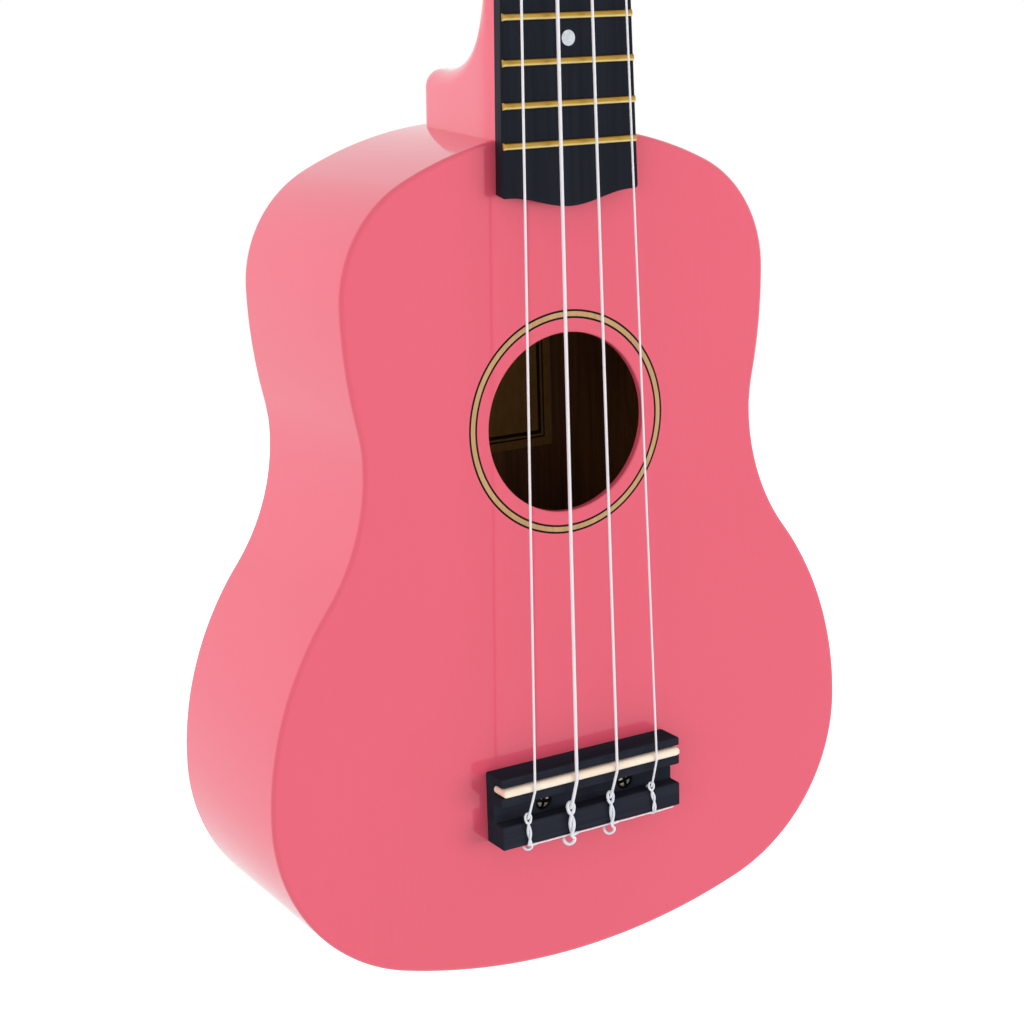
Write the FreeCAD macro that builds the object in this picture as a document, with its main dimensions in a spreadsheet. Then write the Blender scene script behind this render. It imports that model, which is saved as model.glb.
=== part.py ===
import FreeCAD, Part
import math
import os
import re

import Sketcher

# A soprano ukulele, upright. Millimetres.
# Origin: the middle of the nut's fretboard edge, on the plane where the fretboard is glued.
# +Z runs up the neck to the headstock, -Y is the front with the strings, +X is the player's
# bass-to-treble direction seen from the front. The body lies below, on negative Z.

V = FreeCAD.Vector
UPRIGHT = FreeCAD.Rotation()
ALONG_X = FreeCAD.Rotation(V(0, 1, 0), 90)
ALONG_Y = FreeCAD.Rotation(V(1, 0, 0), -90)

DRIVING = (
    # strings and scale
    ("scale_length", 346.0, "nut to the theoretical saddle"),
    ("setback", 3.0, "extra string length at the saddle"),
    ("nut_spacing", 8.8, "string to string at the nut"),
    ("saddle_spacing", 13.7, "string to string at the saddle"),
    ("string_g", 0.71, "diameter"),
    ("string_c", 1.0, "diameter"),
    ("string_e", 0.81, "diameter"),
    ("string_a", 0.61, "diameter"),
    ("string_gap", 0.04, "air between a string and what it rests on"),
    # fretboard, nut and frets
    ("nut_width", 33.5, "fretboard width at the nut"),
    ("join_width", 42.4, "fretboard width at fret 12"),
    ("fretboard_thickness", 5.0, ""),
    ("fretboard_overhang", 13.6, "from fret 12 to the end corners"),
    ("fretboard_tip", 3.3, "how far the pointed end passes its corners"),
    ("fretboard_flat", 9.0, "straight stretch beside each end corner"),
    ("fret_width", 1.9, ""),
    ("fret_height", 0.9, ""),
    ("tang_width", 0.5, ""),
    ("tang_depth", 1.8, ""),
    ("dot_diameter", 4.2, "position markers"),
    ("dot_depth", 1.2, ""),
    ("nut_thickness", 5.0, ""),
    ("nut_height", 8.0, "above the neck's face"),
    ("nut_action", 1.5, "string underside above the fretboard at the nut"),
    ("nut_slot_room", 0.9, "slot wider than its string, for the turn towards the post"),
    # body outline and shells
    ("join_gap", 3.5, "body's top edge above fret 12"),
    ("saddle_to_tail", 58.5, ""),
    ("lower_bout_width", 190.0, ""),
    ("lower_bout_height", 60.3, "above the tail"),
    ("waist_width", 126.0, ""),
    ("waist_drop", 83.5, "below the body's top"),
    ("upper_bout_width", 135.0, ""),
    ("upper_bout_drop", 42.5, "below the body's top"),
    ("lower_bout_radius", 54.0, "below the widest place"),
    ("waist_low_radius", 61.5, "below the waist"),
    ("waist_high_radius", 44.0, "above the waist"),
    ("shoulder_radius", 35.0, "above the upper bout"),
    ("body_depth", 61.0, "front to back"),
    ("top_thickness", 2.0, ""),
    ("back_thickness", 2.0, ""),
    ("side_thickness", 1.8, ""),
    ("edge_round", 1.4, "outer edges of the top and back"),
    ("sound_hole", 50.0, "diameter"),
    ("sound_hole_drop", 79.9, "below the body's top"),
    ("rosette_outer", 62.6, "diameter"),
    ("rosette_inner", 57.7, "diameter"),
    ("rosette_line", 0.5, "width of each dark line"),
    ("inlay_depth", 0.4, ""),
    # inside the body
    ("lining_width", 5.0, ""),
    ("lining_depth", 7.0, ""),
    ("block_width", 44.0, ""),
    ("neck_block_height", 20.0, ""),
    ("tail_block_height", 12.0, ""),
    ("brace_width", 6.0, ""),
    ("brace_depth", 8.0, ""),
    ("upper_brace_rise", 37.0, "above the sound hole's centre"),
    ("lower_brace_fall", 38.0, "below the sound hole's centre"),
    ("back_brace_drop", 52.0, "upper back brace below the body's top"),
    ("back_brace_height", 78.0, "lower back brace above the tail"),
    ("bridge_plate_length", 74.0, ""),
    ("bridge_plate_height", 30.0, ""),
    ("bridge_plate_thickness", 2.5, ""),
    ("label_width", 62.0, ""),
    ("label_height", 40.0, ""),
    ("label_thickness", 0.15, ""),
    # bridge and saddle
    ("bridge_length", 60.0, "across the body"),
    ("bridge_height", 8.8, "above the soundboard"),
    ("front_land", 2.4, "bridge in front of the saddle slot"),
    ("rear_land", 2.9, "bridge behind the saddle slot"),
    ("channel_width", 5.8, "between rear land and tie block"),
    ("tie_block", 6.9, ""),
    ("slot_depth", 4.5, "saddle slot and channel"),
    ("saddle_thickness", 2.8, ""),
    ("saddle_play", 0.1, "slot wider than the saddle"),
    ("saddle_rise", 1.7, "saddle above the bridge"),
    ("tie_hole", 1.6, "diameter of the string holes"),
    ("tie_hole_height", 5.6, "hole centre above the soundboard"),
    ("bridge_screw_spacing", 27.6, ""),
    ("bridge_screw_diameter", 2.6, ""),
    ("bridge_screw_head", 5.0, "diameter"),
    ("bridge_screw_head_height", 1.4, ""),
    ("bridge_screw_reach", 2.0, "point below the bridge plate"),
    ("screw_clearance", 0.1, "hole radius over screw radius"),
    ("screw_cross", 0.7, "width of the cross recess"),
    # neck and heel
    ("shaft_depth_nut", 13.0, ""),
    ("shaft_depth_heel", 17.0, ""),
    ("heel_inset", 1.5, "heel's back in front of the body's back"),
    ("heel_height", 17.0, "above the body's top"),
    ("heel_corner", 5.0, "radius"),
    ("heel_sweep", 21.0, "radius of the hollow above the heel"),
    ("heel_back_width", 27.0, ""),
    ("heel_round", 12.0, "radius of the heel's back corners"),
    ("heel_peak", 4.0, "width where the heel runs out into the shaft"),
    # headstock
    ("head_angle", 12.0, "degrees back from the neck's face"),
    ("head_thickness", 12.0, ""),
    ("head_length", 104.0, "from the nut's back edge"),
    ("head_shoulder", 13.0, "where the head reaches its lower width"),
    ("head_low_width", 49.0, ""),
    ("head_high_width", 57.0, ""),
    ("head_corner_height", 95.0, "height of the top corners"),
    ("head_corner_round", 9.0, "radius"),
    ("head_shoulder_round", 6.0, "radius"),
    # tuners
    ("post_side", 16.0, "post axis from the middle"),
    ("lower_post_height", 35.0, "along the head"),
    ("upper_post_height", 76.0, "along the head"),
    ("post_diameter", 6.0, ""),
    ("post_rise", 11.0, "above the head's face"),
    ("post_hole", 1.7, "diameter of the string hole"),
    ("post_hole_rise", 7.0, "above the head's face"),
    ("running_clearance", 0.05, "radial, shafts in their bores"),
    ("ferrule_diameter", 8.0, ""),
    ("ferrule_flange", 10.5, "diameter"),
    ("ferrule_flange_height", 1.0, ""),
    ("ferrule_length", 6.0, "inside the head"),
    ("plate_thickness", 1.2, ""),
    ("plate_width", 15.0, ""),
    ("plate_above", 13.0, "plate past the post, away from the nut"),
    ("plate_below", 17.0, "plate past the post, towards the nut"),
    ("plate_screw_inset", 2.8, "screw from the plate's end"),
    ("plate_screw_diameter", 2.2, ""),
    ("plate_screw_head", 4.0, "diameter"),
    ("plate_screw_head_height", 1.0, ""),
    ("plate_screw_length", 7.0, "below the plate"),
    ("lug_thickness", 1.2, ""),
    ("lug_height", 6.2, "along the head"),
    ("worm_length", 10.2, "between the lugs"),
    ("worm_play", 0.1, "gap at each end of the worm"),
    ("gear_teeth", 14.0, ""),
    ("gear_module", 0.7, ""),
    ("gear_addendum", 0.6, ""),
    ("gear_dedendum", 0.8, ""),
    ("gear_thickness", 3.4, ""),
    ("tooth_half_tip", 0.2, "half thickness of a gear tooth"),
    ("tooth_half_root", 0.42, "half thickness of a gear tooth"),
    ("worm_pitch_radius", 2.6, ""),
    ("thread_addendum", 0.55, ""),
    ("thread_half_tip", 0.2, "half thickness of the thread"),
    ("thread_half_root", 0.45, "half thickness of the thread"),
    ("mesh_gap", 0.15, "gear tip to worm core, worm to plate"),
    ("knob_shaft_diameter", 3.4, ""),
    ("button_start", 14.5, "from the post's axis"),
    ("button_length", 16.5, ""),
    ("button_width", 14.0, "along the head"),
    ("button_thickness", 8.5, ""),
    ("button_round", 3.4, "radius"),
    ("gear_seat_diameter", 5.0, "post where the gear sits"),
    ("spacer_diameter", 8.0, "post's collar behind the plate"),
    ("gear_screw_diameter", 2.4, ""),
    ("gear_screw_head", 5.4, "diameter"),
    ("gear_screw_head_height", 1.4, ""),
    ("gear_screw_length", 5.0, ""),
    ("wrap_turns", 3.0, "turns of string on each post"),
    ("wrap_drop", 1.1, "first turn below the string hole"),
)

DERIVED = (
    ("join_at", "scale_length / 2", "fret 12 below the nut"),
    ("body_top", "scale_length / 2 - join_gap", "below the nut"),
    ("saddle_at", "scale_length + setback", "below the nut"),
    ("tail_at", "saddle_at + saddle_to_tail", "below the nut"),
    ("lower_bout_at", "tail_at - lower_bout_height", "below the nut"),
    ("waist_at", "body_top + waist_drop", "below the nut"),
    ("upper_bout_at", "body_top + upper_bout_drop", "below the nut"),
    ("hole_at", "body_top + sound_hole_drop", "below the nut"),
    ("inner_back", "body_depth - back_thickness", "back plate's inner face"),
    ("taper", "(join_width - nut_width) / join_at", "fretboard width per length"),
    ("slot_width", "saddle_thickness + saddle_play", "saddle slot"),
    ("land_at", "slot_width / 2 + rear_land", "rear land's lower edge below the saddle"),
    ("tie_at", "land_at + channel_width", "tie block's upper edge below the saddle"),
    ("bridge_low", "tie_at + tie_block", "bridge's lower edge below the saddle"),
    ("bridge_high", "slot_width / 2 + front_land", "bridge's upper edge above the saddle"),
    ("heel_depth", "body_depth - heel_inset", "heel's back from the face"),
    ("gear_pitch_radius", "gear_teeth * gear_module / 2", ""),
    ("gear_tip_radius", "gear_pitch_radius + gear_addendum", ""),
    ("gear_root_radius", "gear_pitch_radius - gear_dedendum", ""),
    ("worm_offset", "gear_pitch_radius + worm_pitch_radius", "worm axis below the post"),
    ("worm_core_radius", "worm_offset - gear_tip_radius - mesh_gap", ""),
    ("worm_tip_radius", "worm_pitch_radius + thread_addendum", ""),
    ("worm_pitch", "3.14159265358979 * gear_module", "thread lead"),
    ("plate_back", "head_thickness + plate_thickness", "plate's outer face"),
    ("gear_middle", "plate_back + mesh_gap + worm_tip_radius", "worm and gear plane"),
    ("lug_inside", "worm_length / 2 + worm_play", "lug's inner face from the post"),
)

doc = FreeCAD.newDocument("ukulele")
sheet = doc.addObject("Spreadsheet::Sheet", "sizes")
row = 0
for alias, value, meaning in DRIVING + DERIVED:
    row += 1
    text = str(value)
    sheet.set(f"A{row}", alias)
    sheet.set(f"B{row}", text if isinstance(value, float) else "=" + text)
    sheet.setAlias(f"B{row}", alias)
    sheet.set(f"C{row}", meaning)
doc.recompute()

ALIASES = [entry[0] for entry in DRIVING + DERIVED]
WORD = re.compile(r"\b(" + "|".join(sorted(ALIASES, key=len, reverse=True)) + r")\b")
parts = []


def size(alias):
    """The sheet's present value of a size."""
    return float(sheet.get(alias))


def worth(expression):
    """The value of an expression over the sheet's sizes, for a shape's first position."""
    return float(sheet.evalExpression(str(expression)))


def bind(thing, **expressions):
    """Bind properties to expressions over the sheet. Base_x stands for .Placement.Base.x."""
    for name, text in expressions.items():
        path = f".Placement.Base.{name[-1]}" if name.startswith("Base_") else name
        thing.setExpression(path, WORD.sub(r"sizes.\1", str(text)))


def keep(thing, label):
    """Make a finished object a sub-part, exported under its label."""
    thing.Label = label
    parts.append(thing)
    return thing


def edges_where(shape, test):
    """Names of the edges that pass a test."""
    return [f"Edge{i + 1}" for i, edge in enumerate(shape.Edges) if test(edge)]


# ---------------------------------------------------------------- primitives and booleans

def box(name, length, width, height, at):
    """A box of X length, Y width and Z height with its lowest corner at a place."""
    thing = doc.addObject("Part::Box", name)
    bind(thing, Length=length, Width=width, Height=height, Base_x=at[0], Base_y=at[1], Base_z=at[2])
    return thing


def rod(name, radius, height, at, turn=UPRIGHT):
    """A cylinder from a place along Z, or along X or Y when turned."""
    thing = doc.addObject("Part::Cylinder", name)
    thing.Placement = FreeCAD.Placement(V(), turn)
    bind(thing, Radius=radius, Height=height, Base_x=at[0], Base_y=at[1], Base_z=at[2])
    return thing


def cut(name, base, tool):
    thing = doc.addObject("Part::Cut", name)
    thing.Base = base
    thing.Tool = tool
    return thing


def fuse(name, things):
    thing = doc.addObject("Part::MultiFuse", name)
    thing.Shapes = things
    return thing


def common(name, things):
    thing = doc.addObject("Part::MultiCommon", name)
    thing.Shapes = things
    return thing


def group(name, things):
    thing = doc.addObject("Part::Compound", name)
    thing.Links = things
    return thing


def ring(name, outer, inner, height, at, turn=UPRIGHT):
    """A tube: one cylinder bored by another."""
    return cut(name, rod(name + "_outer", outer, height, at, turn),
               rod(name + "_bore", inner, height, at, turn))


# ---------------------------------------------------------------- bodies and sketches

def new_body(name):
    return doc.addObject("PartDesign::Body", name)


def sketch_on(body, name, role, lift="0"):
    """A sketch on one of the body's own origin planes, lifted along the plane's normal."""
    sketch = body.newObject("Sketcher::SketchObject", name)
    plane = next(f for f in body.Origin.OriginFeatures if f.Role == role)
    sketch.AttachmentSupport = (plane, [""])
    sketch.MapMode = "FlatFace"
    sketch.setExpression("AttachmentOffset.Base.z", WORD.sub(r"sizes.\1", lift))
    return sketch


def hold(sketch, kind, first, second, expression):
    """A dimension between two points of a sketch, bound to an expression."""
    constraint = Sketcher.Constraint(kind, *first, *second, worth(expression))
    bind_constraint(sketch, sketch.addConstraint(constraint), expression)


def hold_radius(sketch, curve, expression):
    number = sketch.addConstraint(Sketcher.Constraint("Radius", curve, worth(expression)))
    bind_constraint(sketch, number, expression)


def bind_constraint(sketch, number, expression):
    name = f"size{number}"
    sketch.renameConstraint(number, name)
    sketch.setExpression("Constraints." + name, WORD.sub(r"sizes.\1", str(expression)))


ORIGIN = (-1, 1)


def hold_at(sketch, point, across, up):
    """Hold a sketch point at a place given by two expressions; the signs are kept."""
    for kind, expression in (("DistanceX", across), ("DistanceY", up)):
        value = worth(expression)
        if abs(value) < 1e-9:
            sketch.addConstraint(Sketcher.Constraint("PointOnObject", *point, -2 if kind[-1] == "X" else -1))
        elif value > 0:
            hold(sketch, kind, ORIGIN, point, expression)
        else:
            hold(sketch, kind, point, ORIGIN, f"-({expression})")


def polygon(sketch, corners):
    """Closed straight outline through corners, each given by two expressions."""
    places = [V(worth(a), worth(b), 0) for a, b in corners]
    count = len(corners)
    first = len(sketch.Geometry)
    for i in range(count):
        sketch.addGeometry(Part.LineSegment(places[i], places[(i + 1) % count]))
    for i in range(count):
        sketch.addConstraint(Sketcher.Constraint("Coincident", first + i, 2, first + (i + 1) % count, 1))
        hold_at(sketch, (first + i, 1), *corners[i])


def circle(sketch, across, up, radius):
    """A circle held by its centre and radius."""
    centre = V(worth(across), worth(up), 0)
    number = sketch.addGeometry(Part.Circle(centre, V(0, 0, 1), worth(radius)))
    hold_radius(sketch, number, radius)
    hold_at(sketch, (number, 3), across, up)


def pad(body, name, sketch, length, back=False, middle=False):
    feature = body.newObject("PartDesign::Pad", name)
    feature.Profile = sketch
    feature.Reversed = back
    feature.Midplane = middle
    bind(feature, Length=length)
    doc.recompute()
    return feature


def pocket(body, name, sketch, depth, back=False, middle=False):
    """A pocket that must take something away."""
    before = body.Tip.Shape.Volume
    feature = body.newObject("PartDesign::Pocket", name)
    feature.Profile = sketch
    feature.Reversed = back
    feature.Midplane = middle
    bind(feature, Length=depth)
    doc.recompute()
    if not feature.Shape.Volume < before - 1e-6:
        raise RuntimeError(name + " cuts nothing")
    return feature


def round_edges(body, name, radius, test):
    base = body.Tip
    feature = body.newObject("PartDesign::Fillet", name)
    feature.Base = (base, edges_where(base.Shape, test))
    bind(feature, Radius=radius)
    doc.recompute()
    return feature


# ---------------------------------------------------------------- the body's outline

def end_radius(half_width, radius, rise):
    """Radius of the arc across an end that meets a bout's arc smoothly."""
    across = half_width - radius
    return (across ** 2 + rise ** 2 - radius ** 2) / (2 * (rise - radius))


def side_radii(wide, narrow, rise):
    """Sum of the radii of a bout's arc and the waist's arc that meet it smoothly."""
    return (((wide - narrow) / 2) ** 2 + rise ** 2) / (wide - narrow)


def outline_arcs():
    """Half the outline, tail to top: centre, radius and the heights' place names."""
    low, waist, high = (size(n) / 2 for n in ("lower_bout_width", "waist_width", "upper_bout_width"))
    low_z, waist_z, high_z = (-size(n) for n in ("lower_bout_at", "waist_at", "upper_bout_at"))
    tail_z, top_z = -size("tail_at"), -size("body_top")
    r_low, r_shoulder = size("lower_bout_radius"), size("shoulder_radius")
    r_waist_low, r_waist_high = size("waist_low_radius"), size("waist_high_radius")
    r_flank = side_radii(2 * low, 2 * waist, waist_z - low_z) - r_waist_low
    r_chest = side_radii(2 * high, 2 * waist, high_z - waist_z) - r_waist_high
    r_tail = end_radius(low, r_low, low_z - tail_z)
    r_top = end_radius(high, r_shoulder, top_z - high_z)
    return (
        (V(0, tail_z + r_tail, 0), r_tail),
        (V(low - r_low, low_z, 0), r_low),
        (V(low - r_flank, low_z, 0), r_flank),
        (V(waist + r_waist_low, waist_z, 0), -r_waist_low),
        (V(waist + r_waist_high, waist_z, 0), -r_waist_high),
        (V(high - r_chest, high_z, 0), r_chest),
        (V(high - r_shoulder, high_z, 0), r_shoulder),
        (V(0, top_z - r_top, 0), r_top),
    )


def meeting(one, other):
    """The point where two arcs of the outline touch; a hollow arc has a negative radius."""
    (centre_a, radius_a), (centre_b, radius_b) = one, other
    toward = centre_b - centre_a
    if radius_a * radius_b < 0:
        return centre_a + toward * (abs(radius_a) / toward.Length)
    if toward.Length < 1e-9:
        return centre_a + V(radius_a, 0, 0)
    outward = toward / toward.Length * (1 if abs(radius_a) > abs(radius_b) else -1)
    return centre_a + outward * abs(radius_a)


def outline_half(sketch, side, inset="0"):
    """Add one side of the outline to a sketch, held by the sheet's sizes and drawn in by inset.
    Returns the tail end and the top end as sketch points."""
    arcs = outline_arcs()
    draw_in = worth(inset)
    stops = [V(0, -size("tail_at"), 0)]
    stops += [meeting(arcs[i], arcs[i + 1]) for i in range(7)]
    stops += [V(0, -size("body_top"), 0)]
    numbers, lows, highs = [], [], []
    for (centre, radius), low, high in zip(arcs, stops, stops[1:]):
        hollow = radius < 0
        reach = abs(radius) + (draw_in if hollow else -draw_in)
        angles = [math.atan2(p.y - centre.y, side * (p.x - centre.x)) % (2 * math.pi) for p in (low, high)]
        forward = (side > 0) != hollow
        start, end = angles if forward else angles[::-1]
        flat = Part.Circle(V(side * centre.x, centre.y, 0), V(0, 0, 1), reach)
        end += 0 if end > start else 2 * math.pi
        numbers.append(sketch.addGeometry(Part.ArcOfCircle(flat, start, end)))
        lows.append((numbers[-1], 1 if forward else 2))
        highs.append((numbers[-1], 2 if forward else 1))
    for high, low in zip(highs, lows[1:]):
        sketch.addConstraint(Sketcher.Constraint("Tangent", *high, *low))
    for index, sign, name in ((1, "-", "lower_bout_radius"), (3, "+", "waist_low_radius"),
                              (4, "+", "waist_high_radius"), (6, "-", "shoulder_radius")):
        hold_radius(sketch, numbers[index], f"{name} {sign} ({inset})")
    for index, width, height in ((1, "lower_bout_width", "lower_bout_at"), (3, "waist_width", "waist_at"),
                                 (5, "upper_bout_width", "upper_bout_at")):
        sign = "" if side > 0 else "-"
        hold_at(sketch, highs[index], f"{sign}({width} / 2 - ({inset}))", f"-{height}")
        sketch.addConstraint(Sketcher.Constraint("Horizontal", numbers[index], 3, *highs[index]))
    hold_at(sketch, lows[0], "0", f"-(tail_at - ({inset}))")
    hold_at(sketch, highs[7], "0", f"-(body_top + ({inset}))")
    for index in (0, 7):
        sketch.addConstraint(Sketcher.Constraint("PointOnObject", numbers[index], 3, -2))
    return lows[0], highs[7]


def full_outline(body, name, lift, inset="0"):
    """A sketch of the whole outline, parallel to the soundboard."""
    sketch = sketch_on(body, name, "XZ_Plane", lift)
    outline_half(sketch, 1, inset)
    outline_half(sketch, -1, inset)
    return sketch


def full_prism(name, start, length, inset="0"):
    """The outline's prism from a depth behind the front face."""
    body = new_body(name)
    pad(body, name + "_pad", full_outline(body, name + "_outline", f"-({start})", inset), length, back=True)
    return body


def half_ring(name, side, start, length, inset, width):
    """Half of a strip that follows the outline: one side, or one side's lining."""
    body = new_body(name)
    sketch = sketch_on(body, name + "_strip", "XZ_Plane", f"-({start})")
    ends = zip(outline_half(sketch, side, inset), outline_half(sketch, side, f"{inset} + {width}"))
    for outer, inner in ends:
        line = sketch.addGeometry(Part.LineSegment(sketch.getPoint(*outer), sketch.getPoint(*inner)))
        sketch.addConstraint(Sketcher.Constraint("Coincident", line, 1, *outer))
        sketch.addConstraint(Sketcher.Constraint("Coincident", line, 2, *inner))
    pad(body, name + "_pad", sketch, length, back=True)
    return body


# ---------------------------------------------------------------- body shells

def bridge_screw_circles(body, name, lift, radius):
    """Two circles on the bridge's screw axes."""
    sketch = sketch_on(body, name, "XZ_Plane", lift)
    for sign in ("-", ""):
        circle(sketch, f"{sign}bridge_screw_spacing / 2", "-(saddle_at + land_at + channel_width / 2)",
               radius)
    return sketch


def soundboard():
    body = new_body("soundboard")
    sketch = full_outline(body, "top_outline", "0")
    circle(sketch, "0", "-hole_at", "sound_hole / 2")
    pad(body, "top_pad", sketch, "top_thickness", back=True)
    hole = size("sound_hole") / 2
    round_edges(body, "top_round", "edge_round",
                lambda e: abs(e.BoundBox.YMax) < 1e-6 and abs(e.Curve.Radius - hole) > 1e-6)
    channel = sketch_on(body, "rosette_channel", "XZ_Plane")
    circle(channel, "0", "-hole_at", "rosette_outer / 2")
    circle(channel, "0", "-hole_at", "rosette_inner / 2")
    pocket(body, "rosette_pocket", channel, "inlay_depth")
    holes = bridge_screw_circles(body, "top_screw_holes", "0", "bridge_screw_diameter / 2 + screw_clearance")
    pocket(body, "top_screw_pocket", holes, "top_thickness")
    keep(body, "soundboard")


def back_plate():
    body = full_prism("back_plate", "inner_back", "back_thickness")
    round_edges(body, "back_round", "edge_round", lambda e: e.BoundBox.YMin > size("body_depth") - 1e-6)
    keep(body, "back_plate")


def sides():
    for side, word in ((-1, "left"), (1, "right")):
        length = "inner_back - top_thickness"
        keep(half_ring("side_" + word, side, "top_thickness", length, "0", "side_thickness"), "side_" + word)


def inside():
    """Blocks, linings, braces, bridge plate and label, each cut to what it is glued against."""
    cavity = full_prism("cavity", "top_thickness", "inner_back - top_thickness", "side_thickness")
    lined = full_prism("lined_cavity", "top_thickness", "inner_back - top_thickness",
                       "side_thickness + lining_width")
    blocks = []
    for name, low in (("neck_block", "-(body_top + side_thickness + neck_block_height)"),
                      ("tail_block", "-tail_at")):
        height = "tail_block_height + side_thickness" if name == "tail_block" \
            else "neck_block_height + side_thickness"
        blank = box(name + "_blank", "block_width", "inner_back - top_thickness", height,
                    ("-block_width / 2", "top_thickness", low))
        blocks.append(keep(common(name, [blank, cavity]), name))
    both_blocks = group("both_blocks", blocks)
    for plate, start in (("top", "top_thickness"), ("back", "inner_back - lining_depth")):
        for side, word in ((-1, "left"), (1, "right")):
            name = f"{plate}_lining_{word}"
            strip = half_ring(name + "_strip", side, start, "lining_depth", "side_thickness", "lining_width")
            keep(cut(name, strip, both_blocks), name)
    braces = (
        ("upper_top_brace", "top_thickness", "hole_at - upper_brace_rise"),
        ("lower_top_brace", "top_thickness", "hole_at + lower_brace_fall"),
        ("upper_back_brace", "inner_back - brace_depth", "body_top + back_brace_drop"),
        ("lower_back_brace", "inner_back - brace_depth", "tail_at - back_brace_height"),
    )
    for name, front, below in braces:
        bar = box(name + "_bar", "lower_bout_width", "brace_depth", "brace_width",
                  ("-lower_bout_width / 2", front, f"-({below}) - brace_width / 2"))
        keep(common(name, [bar, lined]), name)
    middle = "saddle_at + land_at + channel_width / 2"
    plate = box("bridge_plate_blank", "bridge_plate_length", "bridge_plate_thickness", "bridge_plate_height",
                ("-bridge_plate_length / 2", "top_thickness", f"-({middle}) - bridge_plate_height / 2"))
    pilots = [rod(f"pilot_{i}", "bridge_screw_diameter / 2", "bridge_plate_thickness",
                  (f"{sign}bridge_screw_spacing / 2", "top_thickness", f"-({middle})"), ALONG_Y)
              for i, sign in enumerate(("-", ""))]
    keep(cut("bridge_plate", plate, group("pilots", pilots)), "bridge_plate")
    label = box("label_paper", "label_width", "label_thickness", "label_height",
                ("-label_width / 2", "inner_back - label_thickness", "-hole_at - label_height / 2"))
    keep(label, "label")


def rosette():
    middle = ("0", "0", "-hole_at")
    keep(ring("rosette_wood", "rosette_outer / 2 - rosette_line", "rosette_inner / 2 + rosette_line",
              "inlay_depth", middle, ALONG_Y), "rosette_ring")
    lines = [
        ring("outer_line", "rosette_outer / 2", "rosette_outer / 2 - rosette_line", "inlay_depth",
             middle, ALONG_Y),
        ring("inner_line", "rosette_inner / 2 + rosette_line", "rosette_inner / 2", "inlay_depth",
             middle, ALONG_Y),
    ]
    keep(group("line_pair", lines), "rosette_lines")


# ---------------------------------------------------------------- neck

def half_round_sketch(body, name, lift, width, depth):
    """A flat face of the given width with a round back of the given depth."""
    sketch = sketch_on(body, name, "XY_Plane", lift)
    half, deep = worth(width) / 2, worth(depth)
    face = sketch.addGeometry(Part.LineSegment(V(-half, 0, 0), V(half, 0, 0)))
    back = sketch.addGeometry(Part.Arc(V(-half, 0, 0), V(0, deep, 0), V(half, 0, 0)))
    ends = ((back, 1), (back, 2))
    left, right = ends if sketch.getPoint(back, 1).x < 0 else ends[::-1]
    sketch.addConstraint(Sketcher.Constraint("Coincident", face, 1, *left))
    sketch.addConstraint(Sketcher.Constraint("Coincident", face, 2, *right))
    hold_at(sketch, (face, 1), f"-({width}) / 2", "0")
    hold_at(sketch, (face, 2), f"({width}) / 2", "0")
    hold_radius(sketch, back, f"(({width}) ^ 2 / 4 + ({depth}) ^ 2) / (2 * ({depth}))")
    return sketch


def neck_shaft():
    body = new_body("shaft")
    top = half_round_sketch(body, "shaft_top", "nut_thickness", "nut_width - taper * nut_thickness",
                            "shaft_depth_nut")
    foot_at = "body_top + heel_inset"
    foot = half_round_sketch(body, "shaft_foot", f"-({foot_at})", f"nut_width + taper * ({foot_at})",
                             "shaft_depth_heel")
    loft = body.newObject("PartDesign::AdditiveLoft", "shaft_loft")
    loft.Profile = top
    loft.Sections = [foot]
    loft.Ruled = True
    doc.recompute()
    return body


def neck_heel():
    """The heel: its side, plan and front views, each extruded, share this solid."""
    side_view = new_body("heel_side_view")
    sketch = sketch_on(side_view, "heel_side", "YZ_Plane")
    buried, shelf = "-(body_top + heel_height)", "-(body_top - heel_height)"
    above = "-(body_top - heel_height - heel_sweep - heel_corner)"
    polygon(sketch, (("0", buried), ("heel_depth", buried), ("heel_depth", shelf),
                     ("shaft_depth_heel", shelf), ("shaft_depth_heel", above), ("0", above)))
    pad(side_view, "heel_side_pad", sketch, "join_width", middle=True)
    shelf_z = worth(shelf)
    for name, radius, place in (("heel_corner_round", "heel_corner", "heel_depth"),
                                ("heel_sweep_round", "heel_sweep", "shaft_depth_heel")):
        depth = size(place)
        round_edges(side_view, name, radius,
                    lambda e: abs(e.BoundBox.ZMin - shelf_z) < 1e-6 and e.BoundBox.ZLength < 1e-6
                    and abs(e.BoundBox.YMin - depth) < 1e-6 and e.BoundBox.YLength < 1e-6)
    plan_view = new_body("heel_plan_view")
    sketch = sketch_on(plan_view, "heel_plan", "XY_Plane", buried)
    polygon(sketch, (("-join_width / 2", "0"), ("join_width / 2", "0"),
                     ("heel_back_width / 2", "heel_depth"), ("-heel_back_width / 2", "heel_depth")))
    pad(plan_view, "heel_plan_pad", sketch, "2 * heel_height + heel_sweep + heel_corner")
    depth = size("heel_depth")
    round_edges(plan_view, "heel_back_round", "heel_round",
                lambda e: abs(e.BoundBox.YMin - depth) < 1e-6 and e.BoundBox.YLength < 1e-6
                and e.BoundBox.XLength < 1e-6)
    front_view = new_body("heel_front_view")
    sketch = sketch_on(front_view, "heel_front", "XZ_Plane")
    right = (("(nut_width + taper * (body_top + heel_height)) / 2", buried),
             ("(nut_width + taper * (body_top - heel_height)) / 2", shelf), ("heel_peak / 2", above))
    left = tuple((f"-({across})", up) for across, up in reversed(right))
    polygon(sketch, right + left)
    pad(front_view, "heel_front_pad", sketch, "heel_depth", back=True)
    return common("heel", [side_view, plan_view, front_view])


def head_placement():
    """The headstock's frame: X across, Y into the wood, Z along the head from the nut's back."""
    tilt = FreeCAD.Rotation(V(1, 0, 0), -size("head_angle"))
    return FreeCAD.Placement(V(0, 0, size("nut_thickness")), tilt)


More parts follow.
